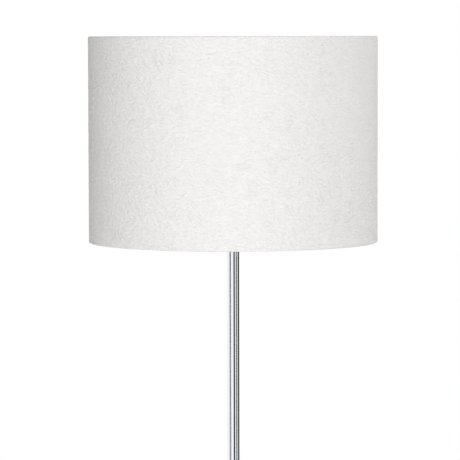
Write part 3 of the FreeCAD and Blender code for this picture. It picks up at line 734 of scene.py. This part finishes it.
@once
def ring_of_pieces_tree():
    """Geometry Nodes: copies of one piece round the Z axis, in rows, turned to face outwards."""
    tree, given = new_tree("ring of pieces", (
        ("Piece", "Object", None), ("Count", "Int", 3), ("Radius", "Float", 0.01),
        ("First Angle", "Float", 0.0), ("Rows", "Int", 1), ("Bottom", "Float", 0.0),
        ("Row Spacing", "Float", 0.0)))
    total = add(tree, "ShaderNodeMath", {"operation": "MULTIPLY"}, {0: given["Count"], 1: given["Rows"]})
    points = add(tree, "GeometryNodePoints", inputs={"Count": total.outputs[0]})
    index = add(tree, "GeometryNodeInputIndex").outputs[0]
    row = add(tree, "ShaderNodeMath", {"operation": "DIVIDE"}, {0: index, 1: given["Count"]})
    whole = add(tree, "ShaderNodeMath", {"operation": "FLOOR"}, {0: row.outputs[0]})
    step = add(tree, "ShaderNodeMath", {"operation": "DIVIDE"}, {0: math.tau, 1: given["Count"]})
    angle = add(tree, "ShaderNodeMath", {"operation": "MULTIPLY_ADD"}, {
        0: index, 1: step.outputs[0], 2: given["First Angle"]}).outputs[0]
    height = add(tree, "ShaderNodeMath", {"operation": "MULTIPLY_ADD"}, {
        0: whole.outputs[0], 1: given["Row Spacing"], 2: given["Bottom"]})
    reach = add(tree, "ShaderNodeCombineXYZ", inputs={"X": given["Radius"], "Z": height.outputs[0]})
    place = add(tree, "ShaderNodeVectorRotate", {"rotation_type": "Z_AXIS"}, {
        "Vector": reach.outputs[0], "Angle": angle})
    moved = add(tree, "GeometryNodeSetPosition", inputs={
        "Geometry": points.outputs[0], "Position": place.outputs[0]})
    piece = add(tree, "GeometryNodeObjectInfo", inputs={"Object": given["Piece"]})
    facing = add(tree, "ShaderNodeCombineXYZ", inputs={"Z": angle})
    copies = add(tree, "GeometryNodeInstanceOnPoints", inputs={
        "Points": moved.outputs[0], "Instance": piece.outputs["Geometry"], "Rotation": facing.outputs[0]})
    return ended(tree, copies.outputs[0], given["Material"])


def ring_of(name, piece, sharp=30, **values):
    """Copies of a piece round the stem, as one mesh; the piece itself is removed."""
    carrier = in_scene(name, bpy.data.meshes.new(name))
    titled = {key.replace("_", " ").title(): value for key, value in values.items()}
    made = grown(name, carrier, ring_of_pieces_tree(), {"Piece": piece, **titled}, sharp)
    discard(piece)
    return made


class LAMP_OT_set_screws(bpy.types.Operator):
    """Hexagon-socket set screws in the collars and the hub"""
    bl_idname = "lamp.set_screws"
    bl_label = "Set screws"

    def execute(self, context):
        for node in ("splay_collar", "mid_coupling", "top_hub"):
            tip = ROD_CIRCLE + ROD_RADIUS + 0.1 * MM
            end = outer_radius(node) - 0.3 * MM
            heights = screw_heights(node + "_screws")
            screws = ring_of(node + "_set_screws", set_screw(end - tip), count=3, radius=tip,
                             first_angle=math.radians(-90), rows=len(heights), bottom=heights[0],
                             row_spacing=heights[-1] - heights[0], material=finish("bright zinc plate"))
            placed(screws, "stand", finish("bright zinc plate"), "zinc_plated_steel", node + "_screws")
        return {"FINISHED"}


class LAMP_OT_cord_gland(bpy.types.Operator):
    """Bush at the wire tube's lower end, with grip flutes"""
    bl_idname = "lamp.cord_gland"
    bl_label = "Cord gland"

    def execute(self, context):
        node = "cord_gland"
        bottom, top = ends(node)
        bore, seat = 2.2 * MM, bottom + 12 * MM
        r_flange, r_body = outer_radius(node), 5.0 * MM
        outline = [(bore + 0.8 * MM, bottom), (r_flange, bottom), (r_flange, bottom + 2.6 * MM),
                   (r_body, bottom + 3.6 * MM), (r_body, top - 0.6 * MM), (4.4 * MM, top),
                   (TUBE_RADIUS + FIT, top), (TUBE_RADIUS + FIT, seat), (bore, seat),
                   (bore, bottom + 1.5 * MM)]
        rounded = softened(outline, 0.4 * MM, 3)
        flutes, depth = 18, 0.25 * MM

        def fluted(angle, index, radius):
            height = rounded[index][1]
            on_body = bottom + 5 * MM < height < top - 2 * MM and radius > r_body - 0.1 * MM
            return radius - depth * wave(flutes, angle) if on_body else radius
        extra = [(r_body, bottom + 5.2 * MM + k * 2.7 * MM) for k in range(6)]
        start = next(i for i, (r, height) in enumerate(rounded)
                     if height > bottom + 3.65 * MM and abs(r - r_body) < 1e-6)
        rounded[start + 1:start + 1] = extra
        gland = lathe("cord_gland_moulded", rounded, segments=144, radius_at=fluted)
        placed(gland, "stand", finish("black polyamide"), "black_thermoplastic", node)
        return {"FINISHED"}


# ---- lampholder ---------------------------------------------------------------------------------
def thread_radius(height, angle, pitch, crest, root, first, last, run_out):
    """Radius of a rounded thread at a height and an angle; it runs out towards its first and last heights."""
    fade = clamp(min(height - first, last - height) / run_out)
    return root + fade * (crest - root) * wave(1, math.tau * height / pitch - angle)


class LAMP_OT_lampholder(bpy.types.Operator):
    """Skirt with its thread and ribs, metal cap, switch housing, insert and small fittings"""
    bl_idname = "lamp.lampholder"
    bl_label = "Lampholder"

    def execute(self, context):
        self.skirt()
        self.nut_and_nipple()
        # These keep their own shapes and softened edges.
        dressed(polished_chrome(), "holder_cap")
        dressed(finish("moulded PBT"), "switch_housing")
        dressed(finish("pressed steatite"), "holder_insert")
        dressed(finish("stamped brass"), "switch_contacts", "terminal_screws", "screw_shell_feet",
                "centre_contact")
        dressed(finish("nickel plate"), "screw_shell")
        dressed(finish("bright zinc plate"), "holder_cap_screw")
        return {"FINISHED"}

    def skirt(self):
        """Threaded sleeve over a flange that has grip ribs."""
        node = "holder_skirt"
        bottom, top = ends(node)
        flange_radius, flange = outer_radius(node), 2 * MM
        thread_crest, thread_root, pitch = 19.6 * MM, 18.95 * MM, 2.5 * MM
        bore, run_out = 17.2 * MM, 1.6 * MM
        heights = evenly(bottom + flange + 0.2 * MM, top - 0.7 * MM, 96)
        outline = [(bore, top - 0.3 * MM), (bore, bottom + 0.3 * MM), (bore + 0.3 * MM, bottom),
                   (flange_radius - 0.4 * MM, bottom), (flange_radius, bottom + 0.4 * MM),
                   (flange_radius, bottom + flange - 0.4 * MM), (flange_radius - 0.4 * MM, bottom + flange)]
        first_thread = len(outline)
        outline += [(thread_root, height) for height in heights]
        last_thread = len(outline)
        outline += [(thread_root - 0.6 * MM, top), (bore + 0.3 * MM, top)]

        def shaped(angle, index, radius):
            if first_thread <= index < last_thread:
                return thread_radius(outline[index][1], angle, pitch, thread_crest, thread_root,
                                     heights[0], heights[-1], run_out)
            if radius > flange_radius - 0.1 * MM:
                return radius - 0.3 * MM * wave(48, angle)
            return radius
        made = lathe("skirt_moulded", outline, segments=288, radius_at=shaped)
        placed(made, "stand", finish("moulded PBT"), "white_thermoplastic", node)

    def nut_and_nipple(self):
        """Hexagon nut with chamfered corners on a threaded tube."""
        node = "nipple_nut"
        bottom, top = ends(node)
        across = min(high(node).x - low(node).x, high(node).y - low(node).y)
        bore = outer_radius("nipple") + 0.04 * MM
        corner = across / 2 / math.cos(math.radians(30))
        chamfer = 0.45 * MM
        flat = corner - chamfer * 1.7
        outline = [(bore, bottom), (flat, bottom), (corner, bottom + chamfer), (corner, top - chamfer),
                   (flat, top), (bore, top)]

        def hexagonal(angle, index, radius):
            if radius < corner - 2 * chamfer:
                return radius
            return min(radius, hexagon(angle, across))
        nut = lathe("nut_chamfered", outline, segments=96, radius_at=hexagonal)
        placed(nut, "stand", finish("bright zinc plate"), "zinc_plated_steel", node)

        node = "nipple"
        bottom, top = ends(node)
        crest, wall = outer_radius(node), 1.25 * MM
        root, pitch = crest - 0.5 * MM, 1.0 * MM
        outline = [(crest - wall, top), (crest - wall, bottom)]
        outline += [(root, height) for height in evenly(bottom, top, 110)]

        def threaded(angle, index, radius):
            height = outline[index][1]
            return root + (crest - root) * wave(1, math.tau * height / pitch - angle) if index > 1 else radius
        made = lathe("nipple_threaded", outline, segments=64, radius_at=threaded)
        placed(made, "stand", finish("bright zinc plate"), "zinc_plated_steel", node)


class LAMP_OT_switch_bar(bpy.types.Operator):
    """Push-through switch bar with domed buttons"""
    bl_idname = "lamp.switch_bar"
    bl_label = "Switch bar"

    def execute(self, context):
        node = "switch_bar"
        left, right = low(node).x, high(node).x
        bottom, top = ends(node)
        button, button_end = (top - bottom) / 2, left + 5 * MM
        shaft, edge = 2.5 * MM, 0.9 * MM
        outline = [(0, left), (button * 0.55, left + 0.12 * MM), (button - edge, left + 0.35 * MM),
                   (button, left + edge + 0.3 * MM), (button, button_end - 0.3 * MM),
                   (button - 0.3 * MM, button_end), (shaft, button_end)]
        outline += [(r, left + right - x) for r, x in reversed(outline)]
        made = lathe("push_bar", outline, segments=64, closed=False)
        middle = Matrix.Translation((0, 0, (top + bottom) / 2))
        made.data.transform(middle @ Matrix.Rotation(math.radians(90), 4, "Y"))
        placed(made, "switch_bar", finish("moulded PBT"), "white_thermoplastic", node)
        return {"FINISHED"}


class LAMP_OT_shade_ring(bpy.types.Operator):
    """Threaded ring with finger ribs that holds the shade's spider down"""
    bl_idname = "lamp.shade_ring"
    bl_label = "Shade ring"

    def execute(self, context):
        node = "shade_ring"
        bottom, top = ends(node)
        outer, bore, ribs = outer_radius(node), 19.8 * MM, 24
        rim = 2.4 * MM
        outline = [(bore, top - 0.5 * MM), (bore, bottom + 0.5 * MM), (bore + 0.5 * MM, bottom),
                   (outer - 0.4 * MM, bottom), (outer, bottom + 0.4 * MM), (outer, bottom + rim - 0.3 * MM),
                   (outer - 0.3 * MM, bottom + rim)]
        start = len(outline)
        waist = outer - 1.2 * MM
        outline += [(waist, height) for height in evenly(bottom + rim + 0.3 * MM, top - 0.6 * MM, 10)]
        end = len(outline)
        outline += [(waist - 0.6 * MM, top), (bore + 0.5 * MM, top)]

        def ribbed(angle, index, radius):
            if start <= index < end:
                return radius - 1.1 * MM * wave(ribs, angle) ** 2
            return radius
        made = lathe("ring_ribbed", outline, segments=ribs * 12, radius_at=ribbed)
        placed(made, "shade_ring", finish("moulded PBT"), "white_thermoplastic", node)
        return {"FINISHED"}


# ---- bulb ---------------------------------------------------------------------------------------
class LAMP_OT_bulb(bpy.types.Operator):
    """Screw-cap bulb with a moulded neck, a board of light sources and an opal globe"""
    bl_idname = "lamp.bulb"
    bl_label = "Bulb"

    def execute(self, context):
        self.cap()
        self.board()
        dressed(finish("nickel plate"), "bulb_contact")
        dressed(finish("black glass"), "bulb_insulator")
        dressed(finish("moulded PBT"), "bulb_body")
        dressed(finish("opal polycarbonate"), "bulb_globe")
        return {"FINISHED"}

    def cap(self):
        """Rolled screw cap with its helical thread."""
        node = "bulb_cap"
        bottom, top = ends(node)
        crest, pitch, wall = outer_radius(node), 3.62 * MM, 0.25 * MM
        root, turns = crest - 0.9 * MM, 4
        thread_bottom = bottom + 1.6 * MM
        thread_top = thread_bottom + turns * pitch
        heights = evenly(thread_bottom, thread_top, 80)
        before = [(root - 2.2 * MM, bottom), (root - 0.8 * MM, bottom + 0.4 * MM), (root, bottom + 1.1 * MM)]
        after = [(root, thread_top + 0.5 * MM), (root, top)]
        outline = before + [(root, height) for height in heights] + after

        def threaded(angle, index, radius):
            if not len(before) <= index < len(before) + len(heights):
                return radius
            return thread_radius(outline[index][1], angle, pitch, crest, root, thread_bottom, thread_top,
                                 0.9 * MM)
        made = lathe("cap_rolled", outline, segments=96, closed=False, radius_at=threaded)
        thick = made.modifiers.new("wall", "SOLIDIFY")
        thick.thickness = wall
        thick.offset = -1
        made = evaluated_copy("cap_rolled", made, 40)
        placed(made, "bulb", finish("nickel plate"), "nickelled_steel", node)

    def board(self):
        """Light sources round the board, under the globe."""
        node = "bulb_led_board"
        dressed(finish("white solder mask"), node)
        top = high(node).z
        mesh = bmesh.new()
        side, thick = 2.8 * MM, 0.7 * MM
        place = Matrix.Translation((0, 0, thick / 2)) @ Matrix.Diagonal((side, side, thick, 1))
        bmesh.ops.create_cube(mesh, size=1, matrix=place)
        bmesh.ops.bevel(mesh, geom=mesh.edges[:], offset=0.12 * MM, segments=2, affect="EDGES")
        chips = ring_of("light_sources", object_from("chip", mesh), count=8, radius=13 * MM, first_angle=0.0,
                        rows=1, bottom=top, row_spacing=0.0, material=finish("phosphor gel"))
        placed(chips, "bulb", finish("phosphor gel"), "led_board")


# ---- shade --------------------------------------------------------------------------------------
# Waves pressed into the laminated wall: times round the drum, phase, lean over its height, share.
WAVES = ((3, 1.1, 2.0, 1.0), (7, -0.6, 5.0, 0.7), (16, 2.3, -9.0, 0.45))


def unevenness(turn, height):
    """Slow hand-laid waviness of the laminated wall, from -1 to 1."""
    up = height / 0.32
    waves = sum(share * math.sin(count * turn + phase + lean * up) for count, phase, lean, share in WAVES)
    return waves / sum(share for *_, share in WAVES)


def hem_arcs(settings, wire_radius, wire_height, up):
    """The outer and the inner face of the fabric, rolled over a wire or, where up is -1, under it."""
    outside = settings.hem_radius
    return [[(wire_radius + size * math.cos(a), wire_height + up * size * math.sin(a))
             for a in evenly(0, math.pi, 10)] for size in (outside, outside - settings.fabric_thickness)]


class LAMP_OT_shade_fabric(bpy.types.Operator):
    """Fabric drum with rolled hems and a glued overlap at the back"""
    bl_idname = "lamp.shade_fabric"
    bl_label = "Shade fabric"

    def execute(self, context):
        settings = context.scene.lamp_shade
        outer_wall, (bottom, top) = outer_radius("shade_cover"), ends("shade_cover")
        hem = settings.hem_radius
        wire = outer_wall - hem
        low_wire, high_wire = bottom + hem, top - hem
        low_outer, low_inner = hem_arcs(settings, wire, low_wire, -1)
        high_outer, high_inner = hem_arcs(settings, wire, high_wire, 1)
        wall = [(outer_wall, height) for height in evenly(low_wire, high_wire, settings.rows)[1:-1]]
        tuck = settings.hem_tuck
        inside_wall = outer_wall - settings.fabric_thickness
        outline = ([(low_outer[-1][0], low_wire + tuck)] + low_outer[::-1] + wall + high_outer
                   + [(high_outer[-1][0], high_wire - tuck), (high_inner[-1][0], high_wire - tuck)]
                   + high_inner[::-1] + [(inside_wall, (low_wire + high_wire) / 2)] + low_inner
                   + [(low_inner[-1][0], low_wire + tuck)])
        outer_count = 1 + len(low_outer) + len(wall) + len(high_outer)
        seam = math.radians(90)
        half_overlap = settings.overlap / outer_wall / 2
        seam_step, seam_slope = 0.12 * MM, 0.8 * MM / outer_wall
        calm, dent_width, dent_height = 9 * MM, 4.2 * MM, 4.6 * MM      # calm: beside the hems

        def pressed(angle, index, radius):
            if index >= outer_count or index < 2 or radius < outer_wall - 0.3 * MM:
                return radius
            height = outline[index][1]
            fade = clamp(min(height - low_wire, high_wire - height) / calm)
            dent = noise.noise((math.cos(angle) * outer_wall / dent_width,
                                math.sin(angle) * outer_wall / dent_width, height / dent_height))
            sunk = settings.wrinkle * (0.5 + 0.5 * unevenness(angle, height)) + settings.crush * clamp(
                0.5 + 1.7 * dent)
            step = seam_step * clamp((apart(angle, seam) - half_overlap) / seam_slope)
            return radius - fade * sunk - step
        made = lathe("fabric_drum", outline, segments=settings.columns, radius_at=pressed)
        shade(made, 60)
        self.cut_coordinates(made, outer_wall)
        placed(made, "shade", brushed_fabric(), "shade_fabric", "shade_cover")
        return {"FINISHED"}

    def cut_coordinates(self, piece, radius):
        """Store each point's place on the flat cut, in metres, for the nap to follow."""
        data = piece.data
        layer = data.attributes.new("cut", "FLOAT_VECTOR", "CORNER")
        values = []
        for polygon in data.polygons:
            middle = math.atan2(polygon.center.y, polygon.center.x)
            for loop in polygon.loop_indices:
                point = data.vertices[data.loops[loop].vertex_index].co
                turn = math.atan2(point.y, point.x)
                if turn - middle > math.pi:
                    turn -= math.tau
                if middle - turn > math.pi:
                    turn += math.tau
                values += [turn * radius, point.z, math.hypot(point.x, point.y)]
        layer.data.foreach_set("vector", values)


class LAMP_OT_shade_liner(bpy.types.Operator):
    """Stiff sheet inside the fabric, with its overlapped joint at the back"""
    bl_idname = "lamp.shade_liner"
    bl_label = "Shade liner"

    def execute(self, context):
        node = "shade_liner"
        bottom, top = ends(node)
        outside = outer_radius(node)
        inside = outside - context.scene.lamp_shade.liner_thickness
        rows, joint = 8, math.radians(84)
        outline = [(outside, height) for height in evenly(bottom, top, rows)]
        outline += [(inside, height) for height in evenly(top, bottom, rows)]
        half_joint, slope = 5 * MM / inside, 0.6 * MM / inside

        def joined(angle, index, radius):
            if index <= rows:
                return radius
            return radius - 0.35 * MM * (1 - clamp((apart(angle, joint) - half_joint) / slope))
        made = lathe("liner_sheet", outline, segments=420, radius_at=joined)
        placed(made, "shade", finish("styrene sheet"), "shade_liner", node)
        return {"FINISHED"}


class LAMP_OT_shade_wires(bpy.types.Operator):
    """Top and bottom wires, the three bent spokes and the ring they are welded to"""
    bl_idname = "lamp.shade_wires"
    bl_label = "Shade wires and spider"

    def execute(self, context):
        for node in ("shade_top_wire", "shade_bottom_wire"):
            bottom, top = ends(node)
            thick, height = (top - bottom) / 2, (top + bottom) / 2
            circle = outer_radius(node) - thick
            outline = [(circle + thick * math.cos(a), height + thick * math.sin(a))
                       for a in evenly(0, math.tau, 16)[:-1]]
            made = lathe(node.replace("shade_", "hoop_"), outline, segments=240)
            placed(made, "shade", finish("white powder coat"), "white_coated_wire", node)
        self.spider()
        return {"FINISHED"}

    def spider(self):
        """Spokes that rise from the bottom wire to the level of the lampholder, and the ring at their inner
        ends.
        """
        wire, bend = 2 * MM, 30 * MM
        welded, foot, knee, ring = 222.23 * MM, 208.23 * MM, 55.02 * MM, 29.02 * MM     # from the axis
        base, level = 1236.33 * MM, high("spider_spokes").z - wire
        corners = ((welded, base), (foot, base), (knee, level), (ring, level))
        points = rounded_path([Vector((reach, 0, height)) for reach, height in corners], bend)
        coat = finish("white powder coat")
        made_bars = [bar("spoke", turned_points(points, math.radians(turn)), wire, coat)
                     for turn in (90, 210, 330)]
        spokes = joined_pieces("spokes_bent", made_bars)
        placed(spokes, "shade", finish("white powder coat"), "white_coated_wire", "spider_spokes")

        node = "spider_ring"
        (bottom, top), outer, bore = ends(node), outer_radius(node), 21 * MM
        outline = softened([(bore, bottom), (outer, bottom), (outer, top), (bore, top)], 0.5 * MM, 3)
        made = lathe("ring_punched", outline, segments=128)
        placed(made, "shade", finish("white powder coat"), "white_coated_wire", node)


def rounded_path(points, radius, steps=12):
    """Straight runs with an arc of this radius, or the most that fits, at each corner."""
    path = [points[0]]
    for before, corner, after in zip(points, points[1:], points[2:]):
        back, forth = (before - corner).normalized(), (after - corner).normalized()
        half = back.angle(forth) / 2
        longest = 0.96 * min((before - corner).length, (after - corner).length)
        reach = min(radius / math.tan(half), longest)
        size = reach * math.tan(half)
        centre = corner + (back + forth).normalized() * size / math.sin(half)
        first, last = corner + back * reach - centre, corner + forth * reach - centre
        for k in range(steps + 1):
            path.append(centre + first.normalized().slerp(last.normalized(), k / steps) * size)
    path.append(points[-1])
    return path


def joined_pieces(name, pieces):
    """Several meshes as one."""
    mesh = bmesh.new()
    for piece in pieces:
        mesh.from_mesh(piece.data)
        discard(piece)
    return object_from(name, mesh)


# ---- studio -------------------------------------------------------------------------------------
# Boards round the lamp that its polished metal mirrors: what each is, the angles that it spans in degrees
# (0 in front, 90 at the right, -90 at the left) and its brightness.
BOARDS = (("dim back wall, left half", -180, -140, 0.30),
          ("white sweep at the left", -140, -40, 0.75),
          ("white sweep in front", -40, 15, 0.66),
          ("black flag", 15, 102, 0.005),
          ("white card at the right", 102, 155, 0.75),
          ("dim back wall, right half", 155, 180, 0.30))
BOARD_EDGE = 4.0                        # degrees over which one board blends into the next
BAND = math.radians(20), math.radians(34)   # the boards are whole up to the first angle, gone at the second
PAST_BOARDS = (0.30, 0.30, 0.31, 1)     # what the metal mirrors above and below them
AMBIENT = (0.22, 0.22, 0.2235, 1)       # what lights everything that isn't a mirror
BACKDROP = (0.5, 0.5, 0.5, 1)           # what the camera sees


class LAMP_OT_studio(bpy.types.Operator):
    """Pale floor, soft lights, white surroundings and the camera"""
    bl_idname = "lamp.studio"
    bl_label = "Studio"

    def execute(self, context):
        self.camera(context.scene)
        self.surroundings(context.scene)
        self.floor(context.scene)
        self.lights(context.scene)
        context.scene.view_settings.view_transform = "Standard"
        context.scene.view_settings.look = "None"
        return {"FINISHED"}

    def camera(self, scene):
        studio = scene.lamp_studio
        data = bpy.data.cameras.new("camera")
        data.sensor_width = 36
        data.lens = studio.focal_length
        data.clip_end = 100
        camera = in_scene("camera", data)
        turn = Matrix.Rotation(-studio.camera_turn, 3, "Z")
        eye = turn @ Vector((0, -studio.camera_distance, studio.camera_height))
        aim = turn @ Vector((-studio.aim_side, 0, studio.aim_height))
        roll = Matrix.Rotation(studio.camera_roll, 3, "Z").to_quaternion()
        camera.location = eye
        camera.rotation_euler = ((aim - eye).to_track_quat("-Z", "Y") @ roll).to_euler()
        scene.camera = camera

    def surroundings(self, scene):
        """A white backdrop for the camera, and boards at eye level for the polished metal to mirror."""
        world = bpy.data.worlds.new("studio")
        scene.world = world
        world.use_nodes = True
        tree = world.node_tree
        tree.nodes.clear()
        place = add(tree, "ShaderNodeTexCoord")
        parts = add(tree, "ShaderNodeSeparateXYZ", inputs={"Vector": place.outputs["Generated"]})
        forward = add(tree, "ShaderNodeMath", {"operation": "MULTIPLY"}, {0: parts.outputs["Y"], 1: -1.0})
        azimuth = add(tree, "ShaderNodeMath", {"operation": "ARCTAN2"}, {
            0: parts.outputs["X"], 1: forward.outputs[0]})
        share = add(tree, "ShaderNodeMapRange", inputs={
            "Value": azimuth.outputs[0], "From Min": -math.pi, "From Max": math.pi})
        ring = add(tree, "ShaderNodeValToRGB", inputs={"Fac": share.outputs["Result"]})
        stops = ring.color_ramp.elements
        for what, first, last, level in BOARDS:
            for edge in (first + BOARD_EDGE / 2, last - BOARD_EDGE / 2):
                stops.new((edge + 180) / 360).color = (level, level, level, 1)
        for end, board in ((0, BOARDS[0]), (-1, BOARDS[-1])):
            stops[end].color = (board[3], board[3], board[3], 1)
        rise = add(tree, "ShaderNodeMath", {"operation": "ABSOLUTE"}, {0: parts.outputs["Z"]})
        band = add(tree, "ShaderNodeMapRange", inputs={
            "Value": rise.outputs[0], "From Min": math.sin(BAND[0]), "From Max": math.sin(BAND[1]),
            "To Min": 1.0, "To Max": 0.0})
        reflected = add(tree, "ShaderNodeMix", {"data_type": "RGBA"}, {
            0: band.outputs["Result"], 6: PAST_BOARDS, 7: ring.outputs["Color"]})
        seen = add(tree, "ShaderNodeLightPath")
        soft = add(tree, "ShaderNodeMix", {"data_type": "RGBA"}, {
            0: seen.outputs["Is Glossy Ray"], 6: AMBIENT, 7: reflected.outputs[2]})
        strength = add(tree, "ShaderNodeMix", {"data_type": "RGBA"}, {
            0: seen.outputs["Is Camera Ray"], 6: soft.outputs[2], 7: BACKDROP})
        light = add(tree, "ShaderNodeBackground", inputs={"Color": strength.outputs[2], "Strength": 2.0})
        add(tree, "ShaderNodeOutputWorld", inputs={"Surface": light.outputs["Background"]})

    def floor(self, scene):
        mesh = bmesh.new()
        bmesh.ops.create_circle(mesh, cap_ends=True, segments=128, radius=3.0)
        ground = object_from("studio_floor", mesh)
        made, tree = new_material("studio floor")
        ramp = add(tree, "ShaderNodeValToRGB", inputs={"Fac": object_noise(tree, 250)})
        surfaced(tree, {"Base Color": graded(ramp, "#F0F0EF", scene.lamp_colours.floor), "Roughness": 0.7,
                        "Specular IOR Level": 0.3})
        ground.data.materials.append(made)

    def lights(self, scene):
        studio = scene.lamp_studio
        target = Vector((0, 0, 1.35))
        # Name, power, width, angle from the front to the right, angle up, distance from the target.
        for name, power, width, azimuth, elevation, distance in (
                ("key", studio.key_power, 1.2, 0, 6, 3.4),
                ("side", studio.side_power, 1.2, 118, 30, 3.0),
                ("back", studio.back_power, 1.6, 188, 25, 3.2)):
            data = bpy.data.lights.new(name, "AREA")
            data.shape, data.size, data.energy = "DISK", width, power
            lamp = in_scene(name, data)
            a, e = math.radians(azimuth), math.radians(elevation)
            away = Vector((math.sin(a) * math.cos(e), -math.cos(a) * math.cos(e), math.sin(e)))
            lamp.location = target + away * distance
            lamp.rotation_euler = away.to_track_quat("Z", "Y").to_euler()
            lamp.visible_camera = lamp.visible_glossy = False


# ---- add-on -------------------------------------------------------------------------------------
class LAMP_PT_panel(bpy.types.Panel):
    """Buttons and settings for the floor lamp"""
    bl_label = "Floor Lamp"
    bl_idname = "LAMP_PT_panel"
    bl_space_type = "VIEW_3D"
    bl_region_type = "UI"
    bl_category = "Floor Lamp"

    def draw(self, context):
        for key in GROUPS:
            group, box = getattr(context.scene, key), self.layout.box()
            for name in group.bl_rna.properties.keys():
                if name not in ("rna_type", "name"):
                    box.prop(group, name)
        for operator in OPERATORS:
            self.layout.operator(operator.bl_idname)


GROUPS = {"lamp_stand": LampStand, "lamp_shade": LampShade, "lamp_colours": LampColours,
          "lamp_studio": LampStudio}
OPERATORS = (LAMP_OT_studio, LAMP_OT_rods, LAMP_OT_legs, LAMP_OT_feet, LAMP_OT_collars, LAMP_OT_set_screws,
             LAMP_OT_cord_gland, LAMP_OT_lampholder, LAMP_OT_switch_bar, LAMP_OT_shade_ring, LAMP_OT_bulb,
             LAMP_OT_shade_fabric, LAMP_OT_shade_liner, LAMP_OT_shade_wires)


def register():
    for made in (*GROUPS.values(), *OPERATORS, LAMP_PT_panel):
        bpy.utils.register_class(made)
    for name, group in GROUPS.items():
        setattr(bpy.types.Scene, name, PointerProperty(type=group))


def unregister():
    for name in GROUPS:
        delattr(bpy.types.Scene, name)
    for made in (LAMP_PT_panel, *reversed(OPERATORS), *GROUPS.values()):
        bpy.utils.unregister_class(made)


def main():
    register()
    for operator in OPERATORS:
        group, name = operator.bl_idname.split(".")
        if getattr(getattr(bpy.ops, group), name)() != {"FINISHED"}:
            raise RuntimeError(f"{operator.bl_label} did not finish")


if __name__ == "__main__":
    main()
